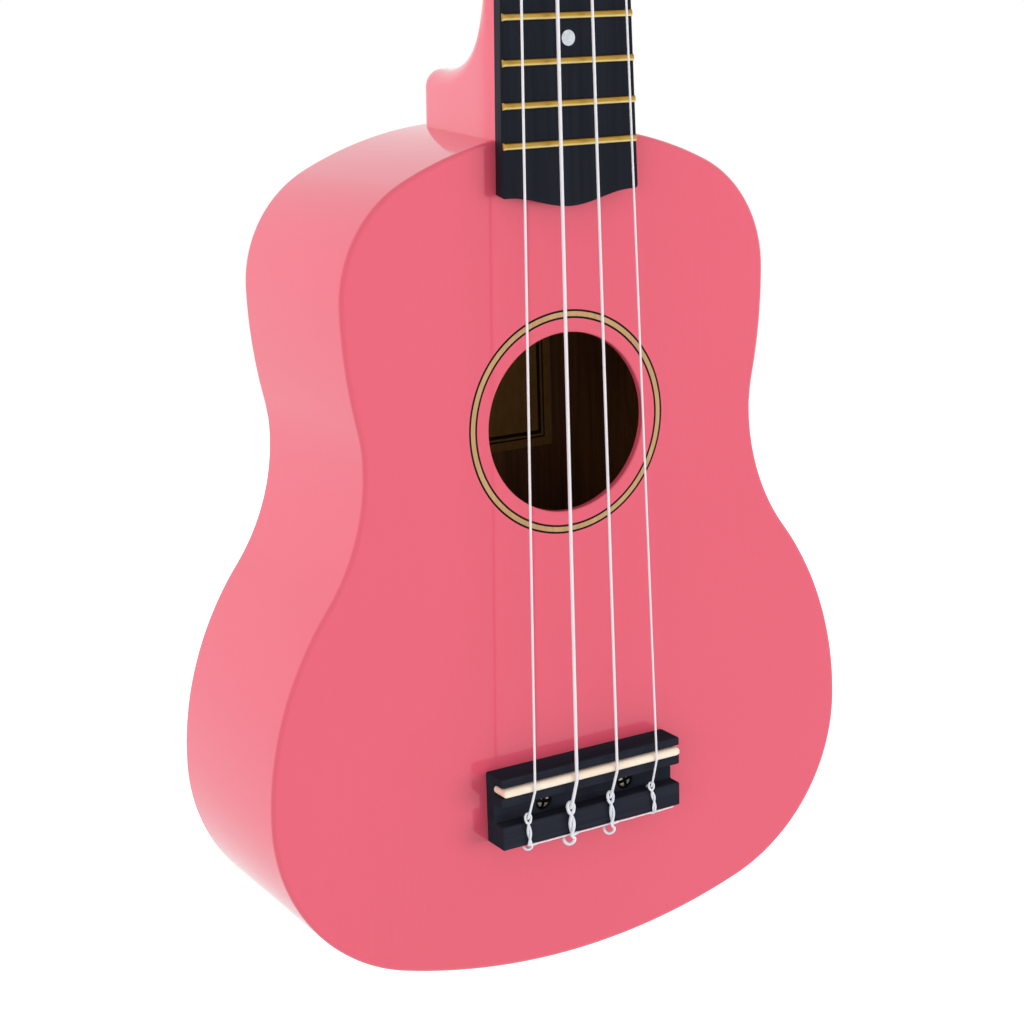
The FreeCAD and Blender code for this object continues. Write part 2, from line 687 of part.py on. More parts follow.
def on_head(thing, across="0", deep="0", up="0"):
    """Place a finished object in the headstock's frame, bound to the sheet."""
    thing.Placement = FreeCAD.Placement(V(), FreeCAD.Rotation(V(-1, 0, 0), size("head_angle")))
    thing.setExpression(".Placement.Rotation.Angle", "sizes.head_angle")
    bind(thing, Base_x=across,
         Base_y=f"({deep}) * cos(head_angle) + ({up}) * sin(head_angle)",
         Base_z=f"nut_thickness - ({deep}) * sin(head_angle) + ({up}) * cos(head_angle)")
    return thing


def neck_head():
    body = new_body("head_blank")
    sketch = sketch_on(body, "head_outline", "XZ_Plane")
    right = (("(nut_width - taper * nut_thickness) / 2", "0"), ("head_low_width / 2", "head_shoulder"),
             ("head_high_width / 2", "head_corner_height"))
    left = tuple((f"-({across})", up) for across, up in reversed(right))
    polygon(sketch, right + (("0", "head_length"),) + left)
    pad(body, "head_pad", sketch, "head_thickness", back=True)
    for name, radius, height in (("head_corners", "head_corner_round", "head_corner_height"),
                                 ("head_shoulders", "head_shoulder_round", "head_shoulder")):
        level = size(height)
        round_edges(body, name, radius,
                    lambda e: abs(e.BoundBox.ZMin - level) < 1e-6 and e.BoundBox.ZLength < 1e-6
                    and e.BoundBox.XLength < 1e-6)
    return on_head(body)


TUNERS = (("g", -1, "lower_post_height"), ("c", -1, "upper_post_height"),
          ("e", 1, "upper_post_height"), ("a", 1, "lower_post_height"))


def plate_screw_heights(height):
    """The two screws of a tuner plate, along the head."""
    return (f"{height} + plate_above - plate_screw_inset", f"{height} - plate_below + plate_screw_inset")


def neck():
    blank = fuse("neck_blank", [neck_shaft(), neck_heel(), neck_head()])
    body_space = full_prism("body_space", "-top_thickness", "body_depth + 2 * top_thickness")
    bores = []
    for letter, side, height in TUNERS:
        across = f"{side} * post_side"
        bores.append(rod("post_bore_" + letter, "ferrule_diameter / 2", "head_thickness",
                         (across, "0", height), ALONG_Y))
        for i, screw_height in enumerate(plate_screw_heights(height)):
            bores.append(rod(f"screw_bore_{letter}{i}", "plate_screw_diameter / 2", "plate_screw_length",
                             (across, "head_thickness - plate_screw_length", screw_height), ALONG_Y))
    head_bores = on_head(group("head_bores", bores))
    keep(cut("neck_wood", cut("neck_seated", blank, body_space), head_bores), "neck")


def fret_place(number):
    """A fret's distance below the nut."""
    return f"scale_length * (1 - 2 ^ (-{number} / 12))"


FRETS = range(1, 13)
DOTS = (5, 7, 10)


def fretboard_and_frets():
    body = new_body("fretboard_blank")
    sketch = sketch_on(body, "fretboard_outline", "XZ_Plane")
    corner = "join_at + fretboard_overhang"
    half = f"(nut_width + taper * ({corner})) / 2"
    flat = f"{half} - fretboard_flat"
    right = (("nut_width / 2", "0"), (half, f"-({corner})"), (flat, f"-({corner})"))
    tip = (("0", f"-({corner} + fretboard_tip)"),)
    left = tuple((f"-({across})", up) for across, up in reversed(right))
    polygon(sketch, right + tip + left)
    pad(body, "fretboard_pad", sketch, "fretboard_thickness")
    crowns, slots = [], []
    for number in FRETS:
        place = fret_place(number)
        half = f"((nut_width + taper * ({place})) / 2 - fret_height / 4)"
        bead = rod(f"fret_bead_{number}", "fret_width / 2", f"2 * {half}",
                   (f"-{half}", "-fretboard_thickness", f"-({place})"), ALONG_X)
        cap = box(f"fret_cap_{number}", f"2 * {half}", "fret_height", "fret_width",
                  (f"-{half}", "-fretboard_thickness - fret_height", f"-({place}) - fret_width / 2"))
        tang = box(f"fret_tang_{number}", f"2 * {half}", "tang_depth", "tang_width",
                   (f"-{half}", "-fretboard_thickness", f"-({place}) - tang_width / 2"))
        crowns.append(fuse(f"fret_{number}", [common(f"fret_crown_{number}", [bead, cap]), tang]))
        slots.append(tang)
    keep(group("fret_set", crowns), "frets")
    dots = []
    for number in DOTS:
        middle = f"(({fret_place(number)}) + ({fret_place(number - 1)})) / 2"
        dots.append(rod(f"dot_{number}", "dot_diameter / 2", "dot_depth",
                        ("0", "-fretboard_thickness", f"-({middle})"), ALONG_Y))
    dot_set = keep(group("dot_set", dots), "position_dots")
    slotted = cut("fretboard_slotted", body, group("fret_slots", slots))
    keep(cut("fretboard_wood", slotted, dot_set), "fretboard")


# ---------------------------------------------------------------- strings

STRINGS = ("g", "c", "e", "a")


def string_offset(index, spacing):
    """A string's place across the neck, counted from the middle."""
    return f"{index - 1.5} * {spacing}"


def string_floor():
    """Underside of the strings at the nut, as a Y value."""
    return "-(fretboard_thickness + nut_action)"


def tube(points, radii, diameter):
    """A round bar along straight runs joined by tangent arcs."""
    edges = []
    start = points[0]
    for before, corner, after, radius in zip(points, points[1:], points[2:], radii):
        back, ahead = (before - corner).normalize(), (after - corner).normalize()
        turn = math.pi - back.getAngle(ahead)
        reach = radius * math.tan(turn / 2)
        first, last = corner + back * reach, corner + ahead * reach
        inward = (back + ahead).normalize()
        middle = corner + inward * (radius / math.cos(turn / 2) - radius)
        if (first - start).Length > 1e-6:
            edges.append(Part.LineSegment(start, first).toShape())
        edges.append(Part.Arc(first, middle, last).toShape())
        start = last
    edges.append(Part.LineSegment(start, points[-1]).toShape())
    path = Part.Wire(edges)
    section = Part.Wire([Part.Circle(points[0], points[1] - points[0], diameter / 2).toShape()])
    solid = path.makePipeShell([section], True, True)
    expected = path.Length * math.pi * diameter ** 2 / 4
    if abs(solid.Volume / expected - 1) > 0.01:
        raise RuntimeError("a string's volume is not its section times its length")
    return solid


def wrap_places(letter, side, height):
    """Where a string meets its post: the incoming turn's rise and the tangent point, head frame."""
    diameter = size("string_" + letter)
    first_turn = size("post_hole_rise") - size("wrap_drop")
    incoming = first_turn - (size("wrap_turns") - 0.5) * diameter
    tangent = V(side * (size("post_side") - (size("post_diameter") + diameter) / 2), -incoming, size(height))
    return first_turn, tangent


def strings():
    for index, (letter, side, height) in enumerate(TUNERS):
        diameter = size("string_" + letter)
        radius = diameter / 2
        gap = size("string_gap")
        at_saddle = worth(string_offset(index, "saddle_spacing"))
        at_nut = worth(string_offset(index, "nut_spacing"))
        saddle_z = -size("saddle_at")
        tie_top = saddle_z - size("tie_at")
        tie_foot = saddle_z - size("bridge_low")
        face_y = -size("bridge_height") - radius - gap
        hole_y = -size("tie_hole_height")
        crest_y = -size("bridge_height") - size("saddle_rise") - radius - gap
        fold = (hole_y - face_y) / 2
        nut_y = worth(string_floor()) - radius - gap
        first_turn, tangent = wrap_places(letter, side, height)
        arrival = head_placement().multVec(tangent)
        nut_point = V(at_nut, nut_y, size("nut_thickness") * 0.25)
        clear = size("post_diameter") / 2 + 3 * radius + 7 * size("running_clearance")
        short = math.sqrt(clear ** 2 - (size("post_diameter") / 2 + radius) ** 2)
        finish = arrival + (nut_point - arrival).normalize() * short
        drop_z = tie_top + 2.2 * radius
        points = [
            V(at_saddle, face_y, tie_top - diameter),
            V(at_saddle, face_y, tie_foot - fold),
            V(at_saddle, hole_y, tie_foot - fold),
            V(at_saddle, hole_y, drop_z),
            V(at_saddle, face_y + radius, drop_z),
            V(at_saddle, crest_y, saddle_z),
            nut_point,
            finish,
        ]
        tight = 1.3 * diameter
        radii = [fold, fold, tight, tight, size("saddle_thickness") / 2 + radius, size("nut_thickness") / 2]
        thing = doc.addObject("Part::Feature", "string_solid_" + letter)
        thing.Shape = tube(points, radii, diameter)
        keep(thing, "string_" + letter)


def nut():
    body = new_body("nut_body")
    sketch = sketch_on(body, "nut_section", "YZ_Plane")
    polygon(sketch, (("0", "0"), ("-nut_height", "0"), ("-nut_height", "nut_thickness * 0.6"),
                     ("-nut_height + nut_thickness * 0.3", "nut_thickness"), ("0", "nut_thickness")))
    pad(body, "nut_pad", sketch, "nut_width - taper * nut_thickness", middle=True)
    fall = math.tan(math.radians(size("head_angle")))
    for index, letter in enumerate(STRINGS):
        slot = sketch_on(body, "nut_slot_" + letter, "YZ_Plane", string_offset(index, "nut_spacing"))
        polygon(slot, (("-nut_height - nut_action", "-nut_thickness * 0.2"),
                       (string_floor(), "-nut_thickness * 0.2"), (string_floor(), "nut_thickness * 0.1"),
                       (f"{string_floor()} + nut_thickness * {fall:.4f} * 1.4", "nut_thickness * 1.1"),
                       ("-nut_height - nut_action", "nut_thickness * 1.1")))
        pocket(body, "nut_cut_" + letter, slot, f"string_{letter} + nut_slot_room", middle=True)
    keep(body, "nut")


# ---------------------------------------------------------------- bridge

def bridge():
    body = new_body("bridge_body")
    sketch = sketch_on(body, "bridge_section", "YZ_Plane")
    face, floor = "-bridge_height", "-bridge_height + slot_depth"
    polygon(sketch, (
        ("0", "bridge_high"), (face, "bridge_high"), (face, "slot_width / 2"), (floor, "slot_width / 2"),
        (floor, "-slot_width / 2"), (face, "-slot_width / 2"), (face, "-land_at"), (floor, "-land_at"),
        (floor, "-tie_at"), (face, "-tie_at"), (face, "-bridge_low"), ("0", "-bridge_low")))
    pad(body, "bridge_pad", sketch, "bridge_length", middle=True)
    body.setExpression(".Placement.Base.z", "-sizes.saddle_at")
    holes = sketch_on(body, "tie_holes", "XY_Plane", "-tie_at")
    for index in range(len(STRINGS)):
        circle(holes, string_offset(index, "saddle_spacing"), "-tie_hole_height", "tie_hole / 2")
    pocket(body, "tie_hole_pocket", holes, "tie_block")
    for name, start, radius, depth in (
            ("head_seat", "bridge_height - slot_depth", "bridge_screw_head / 2 + screw_clearance",
             "bridge_screw_head_height"),
            ("screw_hole", "bridge_height - slot_depth", "bridge_screw_diameter / 2 + screw_clearance",
             "bridge_height - slot_depth")):
        seats = sketch_on(body, name + "_circles", "XZ_Plane", start)
        for sign in ("-", ""):
            circle(seats, f"{sign}bridge_screw_spacing / 2", "-(land_at + channel_width / 2)", radius)
        pocket(body, name + "_pocket", seats, depth)
    chamfer = body.newObject("PartDesign::Chamfer", "bridge_edges")
    face_y = -size("bridge_height")
    base = next(f for f in reversed(body.Group) if f.TypeId == "PartDesign::Pocket")
    chamfer.Base = (base, edges_where(base.Shape, lambda e: abs(e.BoundBox.YMax - face_y) < 1e-6))
    chamfer.Size = 0.3
    doc.recompute()
    keep(body, "bridge")


def saddle():
    body = new_body("saddle_body")
    sketch = sketch_on(body, "saddle_side", "XY_Plane", "-saddle_thickness / 2")
    foot, crest = "-(bridge_height - slot_depth)", "-(bridge_height + saddle_rise)"
    polygon(sketch, (("-bridge_length / 2", foot), ("bridge_length / 2", foot),
                     ("bridge_length / 2", crest), ("-bridge_length / 2", crest)))
    pad(body, "saddle_pad", sketch, "saddle_thickness")
    body.setExpression(".Placement.Base.z", "-sizes.saddle_at")
    crest_y = worth(crest)
    round_edges(body, "saddle_ends", "saddle_rise * 1.2",
                lambda e: abs(e.BoundBox.YMax - crest_y) < 1e-6 and e.BoundBox.XLength < 1e-6)
    round_edges(body, "saddle_crown", "saddle_thickness * 0.48",
                lambda e: e.BoundBox.YMin < crest_y + size("saddle_rise") and e.BoundBox.ZLength < 1e-6)
    keep(body, "saddle")


def screw(name, shank, length, head, head_height, cross_depth, at, out):
    """A screw along Y: the head's underside at a place, the head on the side `out` (+1 or -1)."""
    across, deep, up = at
    shank_start = f"{deep}" if out < 0 else f"({deep}) - ({length})"
    head_start = f"({deep}) - ({head_height})" if out < 0 else f"{deep}"
    body = fuse(name + "_turned", [
        rod(name + "_shank", shank, length, (across, shank_start, up), ALONG_Y),
        rod(name + "_head", head, head_height, (across, head_start, up), ALONG_Y)])
    top = f"({head_start})" if out < 0 else f"({head_start}) + ({head_height}) - ({cross_depth})"
    arm = f"({head}) * 1.2"
    bars = [box(f"{name}_bar_{i}", length_x, cross_depth, length_z,
                (f"({across}) - ({length_x}) / 2", top, f"({up}) - ({length_z}) / 2"))
            for i, (length_x, length_z) in enumerate(((arm, "screw_cross"), ("screw_cross", arm)))]
    return cut(name, body, group(name + "_cross", bars))


def bridge_screws():
    screws = []
    seat = "-(bridge_height - slot_depth - bridge_screw_head_height)"
    length = "bridge_height - slot_depth - bridge_screw_head_height + top_thickness" \
             " + bridge_plate_thickness + bridge_screw_reach"
    for i, sign in enumerate(("-", "")):
        screws.append(screw(f"bridge_screw_{i}", "bridge_screw_diameter / 2", length, "bridge_screw_head / 2",
                            "bridge_screw_head_height", "bridge_screw_head_height / 2",
                            (f"{sign}bridge_screw_spacing / 2", seat,
                             "-(saddle_at + land_at + channel_width / 2)"), -1))
    keep(group("bridge_screw_pair", screws), "bridge_screws")


# ---------------------------------------------------------------- tuners

def ferrule(letter):
    """The bushing in the head's face."""
    flange = rod("ferrule_flange_" + letter, "ferrule_flange / 2", "ferrule_flange_height",
                 ("0", "-ferrule_flange_height", "0"), ALONG_Y)
    barrel = rod("ferrule_barrel_" + letter, "ferrule_diameter / 2", "ferrule_length",
                 ("0", "0", "0"), ALONG_Y)
    bore = rod("ferrule_bore_" + letter, "post_diameter / 2 + running_clearance",
               "ferrule_length + ferrule_flange_height", ("0", "-ferrule_flange_height", "0"), ALONG_Y)
    return cut("ferrule_" + letter, fuse("ferrule_blank_" + letter, [flange, barrel]), bore)


def tuner_plate(letter):
    """Base plate with two lugs that carry the worm's shaft."""
    body = new_body("plate_body_" + letter)
    sketch = sketch_on(body, "plate_outline_" + letter, "XZ_Plane", "-head_thickness")
    half = "plate_width / 2"
    polygon(sketch, ((f"-{half}", "-plate_below"), (half, "-plate_below"), (half, "plate_above"),
                     (f"-{half}", "plate_above")))
    pad(body, "plate_pad_" + letter, sketch, "plate_thickness", back=True)
    lugs = sketch_on(body, "lug_outlines_" + letter, "XZ_Plane", "-plate_back")
    for sign in ("-", ""):
        inner, outer = f"{sign}lug_inside", f"{sign}(lug_inside + lug_thickness)"
        low, high = "-(worm_offset + lug_height / 2)", "-(worm_offset - lug_height / 2)"
        polygon(lugs, ((inner, low), (outer, low), (outer, high), (inner, high)))
    pad(body, "lug_pad_" + letter, lugs, "gear_middle - plate_back + lug_height / 2", back=True)
    bores = sketch_on(body, "shaft_bores_" + letter, "YZ_Plane", "-(lug_inside + lug_thickness)")
    circle(bores, "gear_middle", "-worm_offset", "knob_shaft_diameter / 2 + running_clearance")
    pocket(body, "shaft_bore_" + letter, bores, "2 * (lug_inside + lug_thickness)", back=True)
    holes = sketch_on(body, "plate_holes_" + letter, "XZ_Plane", "-head_thickness")
    circle(holes, "0", "0", "post_diameter / 2 + running_clearance")
    for up in ("plate_above - plate_screw_inset", "-(plate_below - plate_screw_inset)"):
        circle(holes, "0", up, "plate_screw_diameter / 2 + screw_clearance / 2")
    pocket(body, "plate_hole_" + letter, holes, "plate_thickness")
    depth = size("plate_back") + size("lug_height") / 2
    round_edges(body, "plate_corner_" + letter, "plate_thickness",
                lambda e: e.BoundBox.XLength < 1e-6 and e.BoundBox.ZLength < 1e-6
                and e.BoundBox.YMax < depth and abs(abs(e.BoundBox.XMax) - size("plate_width") / 2) < 1e-6)
    return body


def worm(letter, side):
    """The knob's shaft with its single-start thread, along X."""
    body = new_body("worm_body_" + letter)
    turned = sketch_on(body, "worm_section_" + letter, "XY_Plane")
    shaft, core = "knob_shaft_diameter / 2", "worm_core_radius"
    inner, outer = "lug_inside + lug_thickness + worm_play", "button_start + button_length / 2"
    left, right = ("-(" + inner + ")", outer) if side > 0 else ("-(" + outer + ")", inner)
    half = "worm_length / 2"
    polygon(turned, ((left, "0"), (left, shaft), (f"-{half}", shaft), (f"-{half}", core), (half, core),
                     (half, shaft), (right, shaft), (right, "0")))
    revolve = body.newObject("PartDesign::Revolution", "worm_turned_" + letter)
    revolve.Profile = turned
    revolve.ReferenceAxis = (turned, ["H_Axis"])
    revolve.Angle = 360
    doc.recompute()
    thread = sketch_on(body, "thread_section_" + letter, "XZ_Plane")
    start = "-1.5 * worm_pitch"
    sunk = "worm_core_radius - mesh_gap"
    polygon(thread, ((f"{start} - thread_half_root", sunk), (f"{start} + thread_half_root", sunk),
                     (f"{start} + thread_half_tip", "worm_tip_radius"),
                     (f"{start} - thread_half_tip", "worm_tip_radius")))
    helix = body.newObject("PartDesign::AdditiveHelix", "worm_thread_" + letter)
    helix.Profile = thread
    helix.ReferenceAxis = (thread, ["H_Axis"])
    helix.Mode = "pitch-height-angle"
    helix.LeftHanded = False
    helix.Reversed = False
    bind(helix, Pitch="worm_pitch", Height="3 * worm_pitch")
    doc.recompute()
    return body


def gear(letter):
    """The post's gear wheel; one tooth points at the worm."""
    body = new_body("gear_body_" + letter)
    disc = sketch_on(body, "gear_disc_" + letter, "XZ_Plane", "-(gear_middle - gear_thickness / 2)")
    circle(disc, "0", "0", "gear_root_radius")
    circle(disc, "0", "0", "gear_seat_diameter / 2")
    pad(body, "gear_web_" + letter, disc, "gear_thickness", back=True)
    tooth = sketch_on(body, "gear_tooth_" + letter, "XZ_Plane", "-(gear_middle - gear_thickness / 2)")
    root, tip = "-(gear_root_radius - mesh_gap)", "-gear_tip_radius"
    polygon(tooth, (("-tooth_half_root", root), ("tooth_half_root", root), ("tooth_half_tip", tip),
                    ("-tooth_half_tip", tip)))
    feature = pad(body, "tooth_pad_" + letter, tooth, "gear_thickness", back=True)
    circle_of_teeth = body.newObject("PartDesign::PolarPattern", "gear_teeth_" + letter)
    circle_of_teeth.Originals = [feature]
    circle_of_teeth.Axis = (next(f for f in body.Origin.OriginFeatures if f.Role == "Y_Axis"), [""])
    circle_of_teeth.Angle = 360
    circle_of_teeth.Occurrences = int(size("gear_teeth"))
    body.Tip = circle_of_teeth
    doc.recompute()
    return body


def post(letter):
    """The string post: head, journal, spacer collar and gear seat."""
    body = new_body("post_body_" + letter)
    turned = sketch_on(body, "post_section_" + letter, "XY_Plane")
    journal, collar, seat = "post_diameter / 2", "spacer_diameter / 2", "gear_seat_diameter / 2"
    collar_start = "plate_back + worm_play"
    gear_start, gear_end = "gear_middle - gear_thickness / 2", "gear_middle + gear_thickness / 2"
    polygon(turned, (("0", "-post_rise"), (f"{journal} - 0.8", "-post_rise"), (journal, "-post_rise + 0.8"),
                     (journal, collar_start), (collar, collar_start), (collar, gear_start),
                     (seat, gear_start), (seat, gear_end), ("0", gear_end)))
    revolve = body.newObject("PartDesign::Revolution", "post_turned_" + letter)
    revolve.Profile = turned
    revolve.ReferenceAxis = (turned, ["V_Axis"])
    revolve.Angle = 360
    doc.recompute()
    hole = sketch_on(body, "string_hole_" + letter, "YZ_Plane", "-post_diameter / 2")
    circle(hole, "-post_hole_rise", "0", "post_hole / 2")
    pocket(body, "string_hole_pocket_" + letter, hole, "post_diameter", back=True)
    tapped = sketch_on(body, "tapped_hole_" + letter, "XZ_Plane", "-(gear_middle + gear_thickness / 2)")
    circle(tapped, "0", "0", "gear_screw_diameter / 2")
    pocket(body, "tapped_pocket_" + letter, tapped, "gear_screw_length", back=True)
    return body


def button(letter, side):
    """The knob's grip."""
    body = new_body("button_body_" + letter)
    grip = sketch_on(body, "grip_outline_" + letter, "XZ_Plane", "-(gear_middle - button_thickness / 2)")
    sign = "" if side > 0 else "-"
    near, far = f"{sign}button_start", f"{sign}(button_start + button_length)"
    low, high = "-(worm_offset + button_width / 2)", "-(worm_offset - button_width / 2)"
    polygon(grip, ((near, low), (far, low), (far, high), (near, high)))
    pad(body, "grip_pad_" + letter, grip, "button_thickness", back=True)
    round_edges(body, "grip_round_" + letter, "button_round", lambda e: True)
    socket = sketch_on(body, "shaft_socket_" + letter, "YZ_Plane", near)
    circle(socket, "gear_middle", "-worm_offset", "knob_shaft_diameter / 2")
    pocket(body, "shaft_socket_pocket_" + letter, socket, "button_length / 2", back=side > 0)
    return body


def tuners():
    """Each tuner is made about its post's axis on the head's face, then placed on the head."""
    ferrules, screws = [], []
    for letter, side, height in TUNERS:
        across = f"{side} * post_side"
        pieces = (
            (tuner_plate(letter), "tuner_plate_" + letter),
            (button(letter, side), "tuner_button_" + letter),
            (gear(letter), "tuner_gear_" + letter),
            (post(letter), "tuner_post_" + letter),
            (screw("gear_screw_made_" + letter, "gear_screw_diameter / 2", "gear_screw_length",
                   "gear_screw_head / 2", "gear_screw_head_height", "gear_screw_head_height / 2",
                   ("0", "gear_middle + gear_thickness / 2", "0"), 1), "gear_screw_" + letter),
            (ring("string_sleeve_" + letter, f"post_diameter / 2 + string_{letter}", "post_diameter / 2",
                  f"wrap_turns * string_{letter}", ("0", "-(post_hole_rise - wrap_drop)", "0"), ALONG_Y),
             "string_wraps_" + letter),
        )
        for piece, label in pieces:
            on_head(keep(piece, label), across, "0", height)
        on_head(keep(worm(letter, side), "tuner_worm_" + letter), across, "gear_middle",
                f"{height} - worm_offset")
        ferrules.append(on_head(ferrule(letter), across, "0", height))
        for i, up in enumerate(("plate_above - plate_screw_inset", "-(plate_below - plate_screw_inset)")):
            made = screw(f"plate_screw_{letter}{i}", "plate_screw_diameter / 2",
                         "plate_screw_length + plate_thickness", "plate_screw_head / 2",
                         "plate_screw_head_height", "plate_screw_head_height / 2", ("0", "plate_back", up), 1)
            screws.append(on_head(made, across, "0", height))
    keep(group("ferrule_set", ferrules), "ferrules")
    keep(group("plate_screw_set", screws), "plate_screws")


# ---------------------------------------------------------------- build and write

def write_parts():
    """Check every object, then write one STEP file for each sub-part."""
    doc.recompute()
    for thing in doc.Objects:
        if {"Invalid", "Error"} & set(thing.State):
            raise RuntimeError(f"{thing.Label} failed: {thing.State}")
    for thing in parts:
        shape = thing.Shape
        if shape.isNull() or not shape.isValid() or not shape.Solids:
            raise RuntimeError(thing.Label + " has no valid solid")
    os.makedirs("parts", exist_ok=True)
    for thing in parts:
        thing.Shape.exportStep(f"parts/{thing.Label}.step")
    print(len(parts), "sub-parts written")


soundboard()
back_plate()
sides()
inside()
rosette()
neck()
fretboard_and_frets()
nut()
bridge()
saddle()
bridge_screws()
strings()
tuners()
write_parts()
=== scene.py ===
import math

import bpy
import numpy as np
from mathutils import Matrix, Vector

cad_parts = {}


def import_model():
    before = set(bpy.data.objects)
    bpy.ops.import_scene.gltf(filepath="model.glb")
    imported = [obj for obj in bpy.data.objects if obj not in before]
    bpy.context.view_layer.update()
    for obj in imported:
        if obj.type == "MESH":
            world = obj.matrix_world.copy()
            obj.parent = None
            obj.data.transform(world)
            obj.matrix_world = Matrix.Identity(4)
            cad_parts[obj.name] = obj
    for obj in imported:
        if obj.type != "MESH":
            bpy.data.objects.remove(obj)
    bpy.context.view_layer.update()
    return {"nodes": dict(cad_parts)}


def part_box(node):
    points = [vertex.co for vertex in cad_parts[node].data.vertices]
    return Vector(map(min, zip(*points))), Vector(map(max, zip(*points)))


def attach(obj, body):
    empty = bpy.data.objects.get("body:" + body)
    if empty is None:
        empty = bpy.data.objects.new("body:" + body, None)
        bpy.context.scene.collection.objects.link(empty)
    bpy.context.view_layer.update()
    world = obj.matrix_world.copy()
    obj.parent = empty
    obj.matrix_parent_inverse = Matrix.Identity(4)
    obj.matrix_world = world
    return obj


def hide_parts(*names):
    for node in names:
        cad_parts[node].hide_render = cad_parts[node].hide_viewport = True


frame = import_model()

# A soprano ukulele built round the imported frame. Lengths below are millimetres in the frame's
# axes: +X right, +Y into the instrument, +Z up the neck, origin at the nut.

MM = 0.001


def box_mm(node):
    """A CAD node's lowest and highest corners at rest."""
    low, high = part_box(node)
    return np.array(low) / MM, np.array(high) / MM


# ---- shared sizes

top_low, top_high = box_mm("soundboard")
back_low, back_high = box_mm("back_plate")
board_low = box_mm("fretboard")[0]
bridge_low, bridge_high = box_mm("bridge")
saddle_low, saddle_high = box_mm("saddle")
rosette_low, rosette_high = box_mm("rosette_lines")

TAIL_Z, BODY_TOP_Z = top_low[2], top_high[2]
LOWER_HALF = top_high[0]
LOWER_Z = TAIL_Z + 60.3
WAIST_HALF, WAIST_Z = 63.0, BODY_TOP_Z - 83.5
UPPER_HALF, UPPER_Z = 67.5, BODY_TOP_Z - 42.5
LOWER_R, WAIST_LOW_R, WAIST_HIGH_R, UPPER_R = 54.0, 61.5, 44.0, 35.0
TOP_THICK, BACK_INNER, BACK_Y = top_high[1], back_low[1], back_high[1]
SIDE_THICK = 1.8
EDGE_ROUND = 1.4
HOLE_Z = (rosette_low[2] + rosette_high[2]) / 2
HOLE_R = 25.0
FLUSH = 0.05  # how far a glued face goes in
CHANNEL_Y = bridge_low[1] + 4.5

SADDLE_Z = (saddle_low[2] + saddle_high[2]) / 2
SCALE = 346.0
NUT_WIDTH, JOIN_WIDTH = 33.5, 42.4
JOIN_Z = -SCALE / 2
TAPER = (JOIN_WIDTH - NUT_WIDTH) / -JOIN_Z
BOARD_THICK = -board_low[1]
NUT_THICK = 5.0
NUT_FLOOR = -(BOARD_THICK + 1.5)
HEAD_TILT = math.radians(12.0)
# each string's letter, its post's side and height, and its diameter
STRINGS = (("g", -1, 35.0, 0.71), ("c", -1, 76.0, 1.0), ("e", 1, 76.0, 0.81), ("a", 1, 35.0, 0.61))
NUT_SPACING, SADDLE_SPACING = 8.8, 13.7
POST_SIDE, POST_RADIUS, POST_RISE = 16.0, 3.0, 11.0


def board_half(z):
    """Half the fretboard's width at a height."""
    return (NUT_WIDTH - TAPER * z) / 2


def end_radius(half, radius, rise):
    """The radius of the arc across a body's end, given the corner arcs that it runs into."""
    a = half - radius
    return (a * a + rise * rise - radius * radius) / (2 * (rise - radius))


TAIL_R = end_radius(LOWER_HALF, LOWER_R, LOWER_Z - TAIL_Z)
CROWN_R = end_radius(UPPER_HALF, UPPER_R, BODY_TOP_Z - UPPER_Z)


def fret_z(number):
    """A fret's height below the nut, in equal steps of pitch."""
    return -SCALE * (1 - 2 ** (-number / 12))


HEAD_TURN = np.array([[1, 0, 0], [0, math.cos(HEAD_TILT), math.sin(HEAD_TILT)],
                      [0, -math.sin(HEAD_TILT), math.cos(HEAD_TILT)]])


def on_head(points):
    """Points given across, into and up the tilted headstock, in the frame."""
    return np.asarray(points, float) @ HEAD_TURN.T + [0, 0, NUT_THICK]


def head_place(side, height):
    """The turn and shift that put a thing made round a post's axis on the headstock."""
    return HEAD_TURN, on_head([side * POST_SIDE, 0.0, height])


# ---- meshes

def unit(v):
    """Vectors of length one."""
    v = np.asarray(v, float)
    return v / np.linalg.norm(v, axis=-1, keepdims=True)


def put(name, data):
    """A new object in the scene."""
    thing = bpy.data.objects.new(name, data)
    bpy.context.scene.collection.objects.link(thing)
    return thing


def make(name, verts, faces, corner_normals, materials, bands=None, place=None):
    """A mesh from millimetre points, faces, and a normal at each corner of each face."""
    verts, corner_normals = np.asarray(verts, float), np.asarray(corner_normals, float)
    if place is not None:
        turn, shift = place
        verts, corner_normals = verts @ turn.T + shift, corner_normals @ turn.T
    mesh = bpy.data.meshes.new(name)
    mesh.from_pydata((verts * MM).tolist(), [], faces)
    mesh.polygons.foreach_set("use_smooth", [True] * len(mesh.polygons))
    for material in materials:
        mesh.materials.append(material)
    if bands is not None:
        mesh.polygons.foreach_set("material_index", np.asarray(bands, np.int32))
    mesh.normals_split_custom_set(unit(corner_normals).tolist())
    mesh.update()
    return put(name, mesh)


